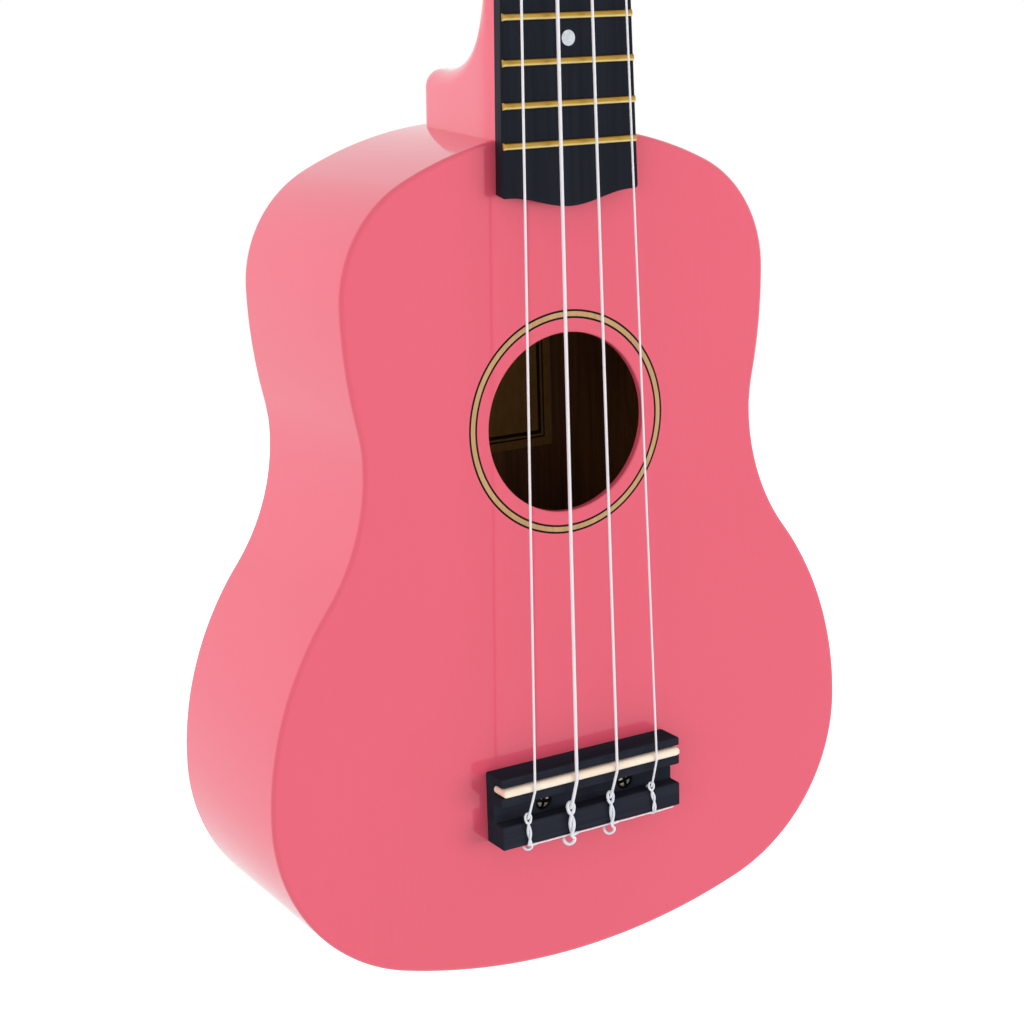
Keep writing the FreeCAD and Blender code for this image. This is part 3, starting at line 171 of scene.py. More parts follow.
def rounded(corners, radii, steps=6, closed=False):
    """Straight runs joined by arcs, as (point, normal before, normal after).
    The outside is on the right of travel."""
    points = [np.array(c, float) for c in corners]
    count = len(points)
    made = []
    for i, (point, radius) in enumerate(zip(points, radii)):
        behind, ahead = unit(point - points[i - 1]), unit(points[(i + 1) % count] - point)
        into = ahead if i == 0 and not closed else behind
        out = behind if i == count - 1 and not closed else ahead
        n0, n1 = np.array([into[1], -into[0]]), np.array([out[1], -out[0]])
        turn = math.atan2(into[0] * out[1] - into[1] * out[0], into @ out)
        if radius == 0 or abs(turn) < 1e-6:
            made.append((point, n0, n1))
            continue
        bend = 1 if turn > 0 else -1
        centre = point - into * radius * math.tan(abs(turn) / 2) - bend * n0 * radius
        for k in range(steps + 1):
            a = turn * k / steps
            normal = np.array([n0[0] * math.cos(a) - n0[1] * math.sin(a),
                               n0[0] * math.sin(a) + n0[1] * math.cos(a)])
            made.append((centre + bend * radius * normal, normal, normal))
    return made


def rows_along(path, normal, profile):
    """One loop of points for each (offset from the path, depth) of a profile."""
    def lift(plan, depth):
        return np.insert(plan, 1, depth, axis=1)

    return [(lift(path + normal * offset, depth), lift(normal * before[0], before[1]),
             lift(normal * after[0], after[1])) for (offset, depth), before, after in profile]


def loft(name, rows, materials, around=True, closed=False, caps=False, ends=False, bands=None,
         place=None):
    """A skin through rows of points. caps close the first and last row, ends close the two
    open sides, and bands gives each stretch between rows its material."""
    count, total = len(rows[0][0]), len(rows)
    verts = np.concatenate([r[0] for r in rows])
    j = np.arange(count if around else count - 1)
    k = (j + 1) % count
    faces, normals, owner = [], [], []
    pairs = [(i, i + 1) for i in range(total - 1)] + ([(total - 1, 0)] if closed else [])
    bands = bands or [0] * len(pairs)
    for band, (a, b) in zip(bands, pairs):
        faces.append(np.stack([a * count + j, b * count + j, b * count + k, a * count + k], 1))
        normals.append(np.stack([rows[a][2][j], rows[b][1][j], rows[b][1][k], rows[a][2][k]], 1))
        owner += [band] * len(j)
    faces = [f.tolist() for f in np.concatenate(faces)]
    normals = np.concatenate(normals).reshape(-1, 3)
    extra = []
    if caps:
        extra += [(list(range(count)), 0),
                  (list(range(total * count - 1, (total - 1) * count - 1, -1)), total - 2)]
    if ends:
        extra += [([i * count for i in range(total)], 0),
                  ([i * count + count - 1 for i in reversed(range(total))], 0)]
    for face, band in extra:
        points = verts[face]
        middle = points.mean(0)
        flat = np.cross(points - middle, np.roll(points, -1, 0) - middle).sum(0)
        faces.append(face)
        normals = np.concatenate([normals, np.tile(unit(flat), (len(face), 1))])
        owner.append(bands[band])
    return make(name, verts, faces, normals, materials, owner, place)


def circle(count):
    """Points round a circle of radius one."""
    a = np.arange(count) * 2 * math.pi / count
    return np.stack([np.cos(a), np.sin(a)], 1)


def lathe(name, profile, materials, count, middle=(0.0, 0.0), closed=False, place=None):
    """A turned solid round an axis along Y; the profile is (radius, depth)."""
    rows = rows_along(np.array(middle), circle(count), profile)
    return loft(name, rows, materials, closed=closed, caps=not closed, place=place)


NO_STRAND = (0.31, 0.17, 0.93)
TIP_REACH, TIP_ANGLES = 0.5, (1.2, 0.6)


def tube(name, points, radius, materials, sides=14, place=None):
    """A round strand through points, with softly rounded ends. None starts along NO_STRAND."""
    p = np.asarray(points, float)
    r = np.broadcast_to(np.asarray(radius, float), (len(p),))
    tangent = unit(np.gradient(p, axis=0))
    side = unit(np.cross(tangent[0], NO_STRAND))
    carried = [side]
    for b in tangent[1:]:
        side = unit(side - b * (side @ b))
        carried.append(side)
    first = np.array(carried)
    second = np.cross(first, tangent)
    turn = circle(sides)
    rim = turn[None, :, 0, None] * first[:, None] + turn[None, :, 1, None] * second[:, None]

    def tip(at, outward, angle):
        ahead, aside = outward * math.sin(angle), rim[at] * math.cos(angle)
        slope = unit(aside + ahead)
        return p[at] + ahead * r[at] * TIP_REACH + aside * r[at], slope, slope

    rows = [tip(0, -tangent[0], angle) for angle in TIP_ANGLES]
    rows += [(centre + around * thick, around, around) for centre, around, thick in zip(p, rim, r)]
    rows += [tip(-1, tangent[-1], angle) for angle in TIP_ANGLES[::-1]]
    return loft(name, rows, materials, caps=True, place=place)


def curve(points, step):
    """Points along a smooth curve through the given ones, about a step apart."""
    p = np.asarray(points, float)
    p = np.concatenate([[2 * p[0] - p[1]], p, [2 * p[-1] - p[-2]]])
    made = []
    for a, b, c, d in zip(p, p[1:], p[2:], p[3:]):
        count = max(1, int(round(np.linalg.norm(c - b) / step)))
        t = (np.arange(count) / count)[:, None]
        made.append(0.5 * (2 * b + (c - a) * t + (2 * a - 5 * b + 4 * c - d) * t ** 2
                           + (3 * b - a - 3 * c + d) * t ** 3))
    return np.concatenate(made + [p[-2][None]])


# ---- rounded solids from distances

def soft_min(a, b, reach):
    """Two solids blended where they come within a reach of each other."""
    h = np.clip(0.5 + 0.5 * (b - a) / reach, 0, 1)
    return b + (a - b) * h - reach * h * (1 - h)


def round_max(a, b, radius):
    """Where two solids meet in an edge of that radius."""
    out = np.hypot(np.maximum(a + radius, 0), np.maximum(b + radius, 0))
    return np.minimum(np.maximum(a, b), -radius) + out


def slab(v, low, high):
    """The space between two planes."""
    return np.maximum(low - v, v - high)


def round_box(x, y, z, low, high, radius):
    across = round_max(slab(x, low[0], high[0]), slab(y, low[1], high[1]), radius)
    return round_max(across, slab(z, low[2], high[2]), radius)


# How far out a slope is read, its least square, and a point's longest move in steps.
PROBE, LEAST_STEEP, LONGEST_MOVE = 0.02, 0.05, 0.6


def solid(name, distance, low, high, step, materials, place=None):
    """A closed mesh of quads where distance(x, y, z) is zero: one point for each grid cell that
    the surface passes through, evened out and drawn onto the surface."""
    step *= 1
    axes = [np.arange(a - 1.5 * step, b + 2.5 * step, step) for a, b in zip(low, high)]
    value = distance(*np.meshgrid(*axes, indexing="ij"))
    cells = tuple(n - 1 for n in value.shape)
    total, hits = np.zeros((math.prod(cells), 3)), np.zeros(math.prod(cells))
    quads = []
    for axis in range(3):
        u, v = (axis + 1) % 3, (axis + 2) % 3
        near = [slice(1, -1)] * 3
        near[axis] = slice(0, -1)
        far = list(near)
        far[axis] = slice(1, None)
        a, b = value[tuple(near)], value[tuple(far)]
        change = (a < 0) != (b < 0)
        at = np.argwhere(change)
        at[:, [u, v]] += 1
        share = a[change] / (a[change] - b[change])
        point = np.stack([axes[i][at[:, i]] for i in range(3)], 1)
        point[:, axis] += share * step
        around = []
        for back in ((1, 1), (0, 1), (0, 0), (1, 0)):
            cell = at.copy()
            cell[:, [u, v]] -= back
            flat = np.ravel_multi_index(cell.T, cells)
            np.add.at(total, flat, point)
            np.add.at(hits, flat, 1)
            around.append(flat)
        around = np.stack(around, 1)
        leaving = a[change] < 0
        around[~leaving] = around[~leaving][:, ::-1]
        quads.append(around)
    used = hits > 0
    verts = total[used] / hits[used, None]
    faces = (np.cumsum(used) - 1)[np.concatenate(quads)]

    def slope(p):
        rise = [distance(*(p + way).T) - distance(*(p - way).T) for way in np.eye(3) * PROBE]
        return np.stack(rise, 1) / (2 * PROBE)

    def settle(p):
        grown = slope(p)
        steep = np.maximum((grown ** 2).sum(1), LEAST_STEEP)
        move = grown * (distance(*p.T) / steep)[:, None]
        length = np.linalg.norm(move, axis=1, keepdims=True)
        return p - move * np.minimum(1, LONGEST_MOVE * step / np.maximum(length, 1e-9))

    verts = settle(settle(verts))
    for _ in range(2):
        total, hits = np.zeros_like(verts), np.zeros(len(verts))
        np.add.at(total, faces, verts[np.roll(faces, -1, axis=1)])
        np.add.at(hits, faces, 1)
        verts = settle(0.5 * verts + 0.5 * total / hits[:, None])
    normal = unit(slope(verts))
    return make(name, verts, faces.tolist(), normal[faces].reshape(-1, 3), materials, place=place)


# ---- materials

def colour(value):
    """A screen colour, 0 to 255, for a shader's socket; one from another node stays as it is."""
    if isinstance(value, bpy.types.NodeSocket):
        return value
    parts = [c / 255 for c in value]
    return [c / 12.92 if c <= 0.04045 else ((c + 0.055) / 1.055) ** 2.4 for c in parts] + [1.0]


class Shader:
    """A material or world whose nodes are added one by one and wired by socket name."""

    def __init__(self, name, kind="materials"):
        self.owner = getattr(bpy.data, kind).new(name)
        self.owner.use_nodes = True
        self.tree = self.owner.node_tree
        self.tree.nodes.clear()
        self.place = self.add("TexCoord")["Object"]

    def add(self, kind, sockets=(), **settings):
        """The outputs of a new node, with its inputs set or linked."""
        node = self.tree.nodes.new("ShaderNode" + kind)
        for key, value in settings.items():
            setattr(node, key, value)
        for key, value in dict(sockets).items():
            if isinstance(value, bpy.types.NodeSocket):
                self.tree.links.new(value, node.inputs[key])
            else:
                node.inputs[key].default_value = value
        return node.outputs

    def noise(self, scale, detail=3.0, rough=0.5, distort=0.0):
        """Noise with so many units to the metre along each axis."""
        stretched = self.add("Mapping", {"Vector": self.place, "Scale": scale})[0]
        return self.add("TexNoise", {"Vector": stretched, "Scale": 1.0, "Detail": detail,
                                     "Roughness": rough, "Distortion": distort})["Fac"]

    def ramp(self, value, low, high, start=0.0, stop=1.0):
        return self.add("MapRange", {"Value": value, "From Min": low, "From Max": high,
                                     "To Min": start, "To Max": stop})[0]

    def blend(self, share, one, other):
        """One colour where the share is 0, the other where it is 1."""
        return self.add("Mix", {0: share, 6: colour(one), 7: colour(other)}, data_type="RGBA")[2]

    def maths(self, kind, one, other=0.0):
        return self.add("Math", {0: one, 1: other}, operation=kind)[0]

    def axis(self, number):
        """The place along one axis of the frame, in metres."""
        return self.add("SeparateXYZ", {0: self.place})[number]

    def rays(self):
        """Whether the camera sees a point, and whether a mirror or glass shows it."""
        path = self.add("LightPath")
        return path["Is Camera Ray"], self.maths("MAXIMUM", path["Is Glossy Ray"],
                                                 path["Is Transmission Ray"])

    def finish(self, base, rough, height=None, depth=0.0, **sockets):
        """The material: a principled surface, bumped by a height to a depth in metres."""
        sockets.update(Base_Color=base, Roughness=rough)
        if height is not None:
            sockets["Normal"] = self.add("Bump", {"Height": height, "Distance": depth})[0]
        names = {key.replace("_", " "): value for key, value in sockets.items()}
        self.add("OutputMaterial", {"Surface": self.add("BsdfPrincipled", names)[0]})
        return self.owner


def lacquer():
    """Coral pink lacquer: a smooth clear coat over paint with faint drift and orange peel."""
    s = Shader("pink_lacquer_paint")
    drift = s.ramp(s.noise((9, 9, 6), 2.0), 0.3, 0.7)
    base = s.blend(drift, (231, 88, 111), (234, 91, 114))
    grain = s.ramp(s.noise((900, 900, 40), 4.0, 0.6), 0.35, 0.65)
    base = s.blend(s.maths("MULTIPLY", grain, 0.06), base, (220, 76, 101))
    peel = s.noise((260, 260, 260), 2.0)
    return s.finish(base, s.ramp(drift, 0, 1, 0.4, 0.48), peel, 0.000006, Specular_IOR_Level=0.1,
                    Coat_Weight=1.0, Coat_Roughness=0.08, Coat_IOR=1.5)


def wood(name, light, dark, along, rough=(0.65, 0.5), scale=1.0, gloss=0.4, depth=0.00003):
    """Wood with streaks along an axis (0, 1 or 2), pores and soft figure."""
    s = Shader(name)
    fine, wide = [700 * scale] * 3, [60 * scale] * 3
    fine[along], wide[along] = 22 * scale, 5 * scale
    streak = s.noise(tuple(fine), 5.0, 0.65, 0.3)
    figure = s.noise(tuple(wide), 3.0, 0.5, 1.2)
    mixed = s.maths("ADD", s.maths("MULTIPLY", streak, 0.6), s.maths("MULTIPLY", figure, 0.4))
    share = s.ramp(mixed, 0.36, 0.64)
    return s.finish(s.blend(share, dark, light), s.ramp(streak, 0.3, 0.7, *rough),
                    streak, depth, Specular_IOR_Level=gloss)


def metal(name, bright, dull, rough, brushed=None):
    """Polished metal with a faint brushed or cloudy surface."""
    s = Shader(name)
    fine = [1500.0] * 3
    if brushed is not None:
        fine[brushed] = 60.0
    lines = s.noise(tuple(fine), 4.0, 0.6)
    cloud = s.noise((120, 120, 120), 3.0)
    share = s.ramp(s.maths("ADD", s.maths("MULTIPLY", lines, 0.5), s.maths("MULTIPLY", cloud, 0.5)),
                   0.4, 0.6)
    return s.finish(s.blend(share, dull, bright), s.ramp(share, 0, 1, *rough),
                    lines, 0.000004, Metallic=1.0)


def deep_screw():
    """Bronze screw heads with painted shade: the cross recess and the head's rim, sunk below the
    channel floor, are painted black.
    """
    s = Shader("screw_bronze_recess_shade")
    cloud = s.ramp(s.noise((900, 900, 900), 3.0), 0.35, 0.65)
    # Painted shade: everything more than about half a millimetre below the channel floor is painted
    # black and not metallic.
    sunk = s.ramp(s.axis(1), (CHANNEL_Y + 0.35) * MM, (CHANNEL_Y + 0.6) * MM)
    base = s.blend(cloud, (170, 158, 138), (214, 202, 182))
    base = s.blend(sunk, base, (6, 5, 6))
    return s.finish(base, s.ramp(cloud, 0, 1, 0.38, 0.26), Metallic=s.ramp(sunk, 0, 1, 0.4, 0),
                    Specular_IOR_Level=0.1)


def plastic(name, one, other, rough, scale, soft=0.0, distort=0.0):
    """Moulded plastic, ivory or shell: soft clouds and a faint uneven surface."""
    s = Shader(name)
    cloud = s.noise((scale,) * 3, 4.0, 0.55, distort)
    share = s.ramp(cloud, 0.35, 0.65)
    sockets = {"Subsurface_Weight": soft, "Subsurface_Radius": (0.004, 0.003, 0.002),
               "Subsurface_Scale": 0.3} if soft else {}
    return s.finish(s.blend(share, one, other), s.ramp(share, 0, 1, *rough),
                    s.noise((700, 700, 700), 2.0), 0.000006, **sockets)


def nylon():
    """Clear nylon: pale, glassy, with faint streaks, and painted shade below the saddle where the
    knots are, a little darker and bluer.
    """
    s = Shader("clear_nylon_strand")
    streak = s.ramp(s.noise((900, 900, 30), 3.0), 0.3, 0.7)
    # Painted shade: below the saddle, at the knots by the tie block, the nylon is painted a little
    # darker and bluer.
    knot_painted_shade = s.ramp(s.axis(2), (SADDLE_Z - 2) * MM, (SADDLE_Z - 8) * MM)
    pale = s.blend(streak, (246, 244, 250), (254, 253, 255))
    shaded_blue = s.blend(streak, (232, 237, 246), (249, 251, 254))
    return s.finish(s.blend(knot_painted_shade, pale, shaded_blue), s.ramp(streak, 0, 1, 0.14, 0.26),
                    streak, 0.000005, Transmission_Weight=0.12, IOR=1.45)


def brass_wire():
    """Polished brass with painted light: painted shade, a deeper gold, on faces turned up the neck
    and a dark line at the very bottom, and a painted highlight, paler, on faces turned down it.
    """
    s = Shader("fret_wire_brass")
    lines = s.noise((60, 1500, 1500), 3.0, 0.6)
    # Painted light by which way a face turns: painted shade on faces turned up the neck, a painted
    # highlight on faces turned down it, and a painted shade line where the crown turns straight down.
    painted_light_facing = s.add("SeparateXYZ", {0: s.add("TexCoord")["Normal"]})[2]
    gold = s.blend(s.ramp(lines, 0.35, 0.65), (182, 142, 58), (196, 158, 74))
    base = s.blend(s.ramp(painted_light_facing, 0.3, 0.9), gold, (132, 96, 34))
    base = s.blend(s.ramp(painted_light_facing, -0.05, -0.5), base, (244, 222, 150))
    base = s.blend(s.ramp(painted_light_facing, -0.8, -0.97), base, (112, 78, 28))
    return s.finish(base, s.ramp(lines, 0.3, 0.7, 0.42, 0.34), lines, 0.0000015, Metallic=1.0)


def paper():
    """Aged paper with fibres and a generic double ruled border near its edge."""
    s = Shader("label_paper_stock")
    low, high = (np.array(v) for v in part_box("label"))
    middle, half = (low + high) / 2, (high - low) / 2

    def from_edge(number):
        off = s.maths("ABSOLUTE", s.maths("SUBTRACT", s.axis(number), middle[number]))
        return s.maths("SUBTRACT", half[number], off)

    inset = s.maths("MINIMUM", from_edge(0), from_edge(2))
    lines = 0.0
    for start, width in ((0.0026, 0.0005), (0.0038, 0.0011)):
        line = s.maths("MULTIPLY", s.maths("GREATER_THAN", inset, start),
                       s.maths("LESS_THAN", inset, start + width))
        lines = s.maths("MAXIMUM", lines, line)
    fibre = s.ramp(s.noise((500, 500, 160), 5.0, 0.7), 0.3, 0.7)
    ground = s.blend(fibre, (146, 102, 50), (164, 120, 66))
    base = s.blend(lines, ground, (40, 26, 16))
    return s.finish(base, s.ramp(fibre, 0, 1, 0.85, 0.95), fibre, 0.00004, Specular_IOR_Level=0.2)


PINK = lacquer()
INSIDE = wood("bare_wood_inside", (134, 86, 50), (90, 54, 30), 2)
SPRUCE = wood("bare_wood_brace", (214, 178, 128), (176, 134, 84), 0)
PAPER = paper()
TAN = wood("tan_inlay_wood", (206, 170, 118), (182, 144, 94), 2, (0.35, 0.25), 1.4)
LINE = wood("dark_inlay_line", (36, 16, 16), (16, 6, 8), 2, (0.4, 0.3), 1.4, 0.1)
BOARD = wood("dark_board_wood", (35, 38, 47), (27, 29, 37), 2, (0.55, 0.45), 1.0, 0.05, 0.000006)
BRIDGE = wood("dark_bridge_wood", (47, 50, 60), (37, 39, 48), 0, (0.55, 0.45), 1.0, 0.0, 0.000008)
FRET = brass_wire()
DOT = plastic("pearl_dot_shell", (196, 208, 212), (222, 226, 232), (0.2, 0.12), 380.0, distort=1.4)
IVORY = plastic("ivory_bone", (255, 240, 220), (250, 231, 207), (0.3, 0.2), 160.0, soft=0.12)
NYLON = nylon()
SCREW = deep_screw()
CHROME = metal("bright_metal_nickel", (214, 214, 218), (186, 187, 193), (0.2, 0.1))
PLATE = metal("bright_metal_plate", (206, 206, 210), (176, 177, 183), (0.3, 0.18), 2)
GEAR = metal("gear_brass_cut", (226, 192, 118), (190, 150, 78), (0.36, 0.22))
BUTTON = plastic("button_pearl_plastic", (246, 243, 236), (222, 219, 212), (0.2, 0.12), 130.0,
                 distort=2.2)


def own(piece, node=None, body="instrument"):
    """The piece rides on a body and may stand for a CAD node, which it hides."""
    if node:
        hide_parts(node)
    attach(piece, body)


# ---- body

def body_outline(spacing):
    """Points and outward normals round the body: up the right side, then down the left."""
    wide, narrow, high = LOWER_HALF, WAIST_HALF, UPPER_HALF
    r1, r3, r4, r6 = LOWER_R, WAIST_LOW_R, WAIST_HIGH_R, UPPER_R
    r2 = ((wide - narrow) ** 2 + (WAIST_Z - LOWER_Z) ** 2) / (2 * (wide - narrow)) - r3
    r5 = ((high - narrow) ** 2 + (UPPER_Z - WAIST_Z) ** 2) / (2 * (high - narrow)) - r4
    # each arc's centre and radius from tail to neck; a hollow one has a negative radius
    arcs = (((0, TAIL_Z + TAIL_R), TAIL_R), ((wide - r1, LOWER_Z), r1), ((wide - r2, LOWER_Z), r2),
            ((narrow + r3, WAIST_Z), -r3), ((narrow + r4, WAIST_Z), -r4), ((high - r5, UPPER_Z), r5),
            ((high - r6, UPPER_Z), r6), ((0, BODY_TOP_Z - CROWN_R), CROWN_R))
    arcs = [(np.array(c, float), r) for c, r in arcs]

    def meet(one, other):
        """Where two arcs run into each other."""
        (start, ra), (stop, rb) = arcs[one], arcs[other]
        ray = unit(stop - start) * abs(ra)
        return start + ray if ra * rb < 0 or abs(ra) > abs(rb) else start - ray

    joints = np.array([(0, TAIL_Z), meet(0, 1), (wide, LOWER_Z), meet(2, 3), (narrow, WAIST_Z),
                       meet(4, 5), (high, UPPER_Z), meet(6, 7), (0, BODY_TOP_Z)])
    points, normals = [], []
    for (centre, radius), start, stop in zip(arcs, joints, joints[1:]):
        a0, a1 = (math.atan2(*(p - centre)[::-1]) for p in (start, stop))
        sweep = (a1 - a0 + math.pi) % (2 * math.pi) - math.pi
        count = max(2, int(abs(sweep * radius) / spacing))
        a = a0 + sweep * np.arange(count) / count
        ray = np.stack([np.cos(a), np.sin(a)], 1)
        points.append(centre + abs(radius) * ray)
        normals.append(ray if radius > 0 else -ray)
    points = np.concatenate(points + [[[0, BODY_TOP_Z]]])
    normals = np.concatenate(normals + [[[0, 1]]])
    return [np.concatenate([side, (side * [-1, 1])[-2:0:-1]]) for side in (points, normals)]


OUTLINE, OUTWARD = body_outline(0.9)


def soundboard():
    """The top plate with its rounded rim and sound hole."""
    hub = np.array([0.0, HOLE_Z])
    ray = unit(OUTLINE - hub)
    hole = rows_along(hub, ray, rounded(
        [(HOLE_R, TOP_THICK), (HOLE_R, 0.0), (HOLE_R + 2.0, 0.0)], [0, 0.6, 0]))
    rim = rows_along(OUTLINE, OUTWARD, rounded(
        [(-EDGE_ROUND - 1.0, 0.0), (0.0, 0.0), (0.0, TOP_THICK)], [0, EDGE_ROUND, 0], 8))
    inner, _, up = hole[-1]
    across = [(inner * (1 - share) + rim[0][0] * share, up, up)
              for share in (0.15, 0.3, 0.45, 0.6, 0.75, 0.9)]
    rows = hole + across + rim
    flat_back = np.tile([0.0, 1.0, 0.0], (len(ray), 1))
    rows[0] = (rows[0][0], flat_back, rows[0][2])
    rows[-1] = (rows[-1][0], rows[-1][1], flat_back)
    bands = [0] * (len(rows) - 1) + [1]
    own(loft("soundboard_skin", rows, [PINK, INSIDE], closed=True, bands=bands),
        "soundboard")


def back_plate():
    """The flat back with its rounded rim."""
    profile = rounded([(-3.0, BACK_INNER), (0.0, BACK_INNER), (0.0, BACK_Y),
                       (-EDGE_ROUND - 1.0, BACK_Y)], [0, 0, EDGE_ROUND, 0], 8)
    rows = rows_along(OUTLINE, OUTWARD, profile)
    bands = [1] + [0] * (len(rows) - 2)
    own(loft("back_skin", rows, [PINK, INSIDE], caps=True, bands=bands),
        "back_plate")


def rib(hand, first, last):
    """One bent side, from tail to neck, with its bare inner face."""
    take = np.arange(first, last + 1) % len(OUTLINE)
    profile = rounded([(0.0, TOP_THICK), (0.0, BACK_INNER), (-SIDE_THICK, BACK_INNER),
                       (-SIDE_THICK, TOP_THICK)], [0, 0, 0, 0], closed=True)
    rows = rows_along(OUTLINE[take], OUTWARD[take], profile)
    own(loft(f"side_{hand}_bent", rows, [PINK, INSIDE], around=False, closed=True, ends=True,
             bands=[0, 1, 1, 1]), f"side_{hand}")


def rosette():
    """The tan ring between two dark lines, just proud of the top."""
    face, deep = -0.03, 0.3
    outer, inner, line = rosette_high[0], 28.85, 0.56

    def band(name, big, small, material, slot, node=None):
        profile = rounded([(small, face), (big, face), (big, deep), (small, deep)],
                          [0.02, 0.02, 0, 0], 3, closed=True)
        own(lathe(name, profile, [material], 256, (0.0, HOLE_Z), closed=True), node)

    band("rosette_band", outer - line, inner + line, TAN, "tan_inlay", "rosette_ring")
    band("rosette_outer_line", outer, outer - line, LINE, "dark_inlay", "rosette_lines")
    band("rosette_inner_line", inner + line, inner, LINE, "dark_inlay")


soundboard()
back_plate()
rib("right", 0, len(OUTLINE) // 2)
rib("left", len(OUTLINE) // 2, len(OUTLINE))
rosette()


# ---- neck

# The heel's back and shelf, the fillet of its sweep, how much taller than deep that fillet is,
# and the radii of its edges.
HEEL_BACK, HEEL_SHELF = 58.6, BODY_TOP_Z + 15.3
HEEL_SWEEP, HEEL_STRETCH = 32.0, 2.37
HEEL_CORNER, HEEL_EDGE, HEEL_TOP_EDGE = 6.0, 8.0, 5.0
# How much the heel narrows, from what depth, and how softly.
HEEL_TAPER, TAPER_FROM, TAPER_SOFT = 0.168, 6.0, 12.0
BOARD_LEAN = 0.95  # how far the fretboard's side leans in
# The shaft's depth at nut and heel, its upright part, and the power of its oval.
SHAFT_NUT, SHAFT_HEEL, SHAFT_FLAT, SHAFT_POWER = 13.0, 13.8, 3.5, 2.15
HEAD_THICK, SHOULDER_WIDE = 12.0, 2.2
# The headstock's outline from its flank to its peak.
HEAD_CORNERS = ((24.5, 13.0), (28.5, 95.0), (0.0, 104.0))
SEAT_DEEP = 1.0


def smooth(v, low, high):
    """From 0 to 1 between two values, level at both."""
    t = np.clip((v - low) / (high - low), 0, 1)
    return t * t * (3 - 2 * t)


def head_plan(side, up):
    """Distance outside the headstock's outline."""
    def beyond(start, stop):
        (x0, z0), (x1, z1) = start, stop
        return ((side - x0) * (z1 - z0) - (up - z0) * (x1 - x0)) / math.hypot(x1 - x0, z1 - z0)

    flank, corner, peak = HEAD_CORNERS
    flare = beyond((board_half(NUT_THICK), 0.0), flank)
    edge, gable = beyond(flank, corner), beyond(corner, peak)
    plan = round_max(round_max(flare, edge, 6.0), gable, 9.0)
    return -soft_min(-plan, peak[1] - 0.4 - up, 2.0)


def shelf_and_shaft(y, z):
    """The shaft's back swept into the heel's shelf, and the shaft's depth."""
    share = np.clip((z - BODY_TOP_Z) / (NUT_THICK - BODY_TOP_Z), 0, 1.1)
    depth = SHAFT_HEEL + (SHAFT_NUT - SHAFT_HEEL) * share
    return -round_max(HEEL_STRETCH * (HEEL_SHELF - z), depth - y, HEEL_SWEEP), depth


def neck_distance(x, y, z):
    """Distance outside the neck: shaft, heel and headstock in one."""
    side = np.abs(x)
    half = board_half(np.clip(z, -190, 8)) - BOARD_LEAN - FLUSH
    # the back as seen from the side: shaft, sweep, shelf and heel
    back, depth = shelf_and_shaft(y, z)
    rise = [(shelf_and_shaft(y + a, z + b)[0] - shelf_and_shaft(y - a, z - b)[0]) / 0.2
            for a, b in ((0.1, 0), (0, 0.1))]
    sweep = back / np.maximum(np.hypot(*rise), 0.5)
    back = round_max(sweep, y - HEEL_BACK, HEEL_CORNER)
    # across: upright beside the fretboard, then rounded; a tapered rounded block at the heel
    heel = smooth(z, HEEL_SHELF + 24, HEEL_SHELF + 5)
    reach, power = depth - SHAFT_FLAT, SHAFT_POWER
    u, v = side / half, np.maximum(1 + back / reach, 0)
    g = (u ** power + v ** power) ** (1 / power) + 1e-9
    steep = np.hypot((u / g) ** (power - 1) / half, (v / g) ** (power - 1) / reach)
    past = y - TAPER_FROM
    wide = half - HEEL_TAPER * heel * (past + np.sqrt(past ** 2 + TAPER_SOFT)) / 2
    block = round_max(round_max(side - wide, y - HEEL_BACK, HEEL_EDGE), sweep, HEEL_TOP_EDGE)
    shaft = (g - 1) / np.maximum(steep, 1e-3) * (1 - heel) + block * heel
    # the tilted headstock and the hollow curve into it
    c, s = math.cos(HEAD_TILT), math.sin(HEAD_TILT)
    deep, up = y * c - (z - NUT_THICK) * s, y * s + (z - NUT_THICK) * c
    head = round_max(deep - HEAD_THICK, -up - 1.0, 5.0)
    both = soft_min(np.maximum(shaft, z - 26), head, 7.0)
    shoulder = side - half - SHOULDER_WIDE * smooth(z, -4, -26)
    plan = soft_min(np.maximum(head_plan(side, up), -up - 6.0), np.maximum(shoulder, up - 8.0), 2.5)
    neck = round_max(both, np.where(z > -40, plan, side - half - SHOULDER_WIDE), 1.4)
    neck = round_max(neck, -deep, 1.2)
    # its front lies a little in the fretboard, and its seat a little in the body's rib
    neck = round_max(neck, -y - 0.5, 0.2)
    return np.maximum(neck, CROWN_R - SEAT_DEEP - np.hypot(x, z - BODY_TOP_Z + CROWN_R))


neck_low, neck_high = box_mm("neck")
own(solid("neck_carved", neck_distance, neck_low, neck_high, 0.79, [PINK]),
    "neck")


# ---- fretboard, frets, dots, nut

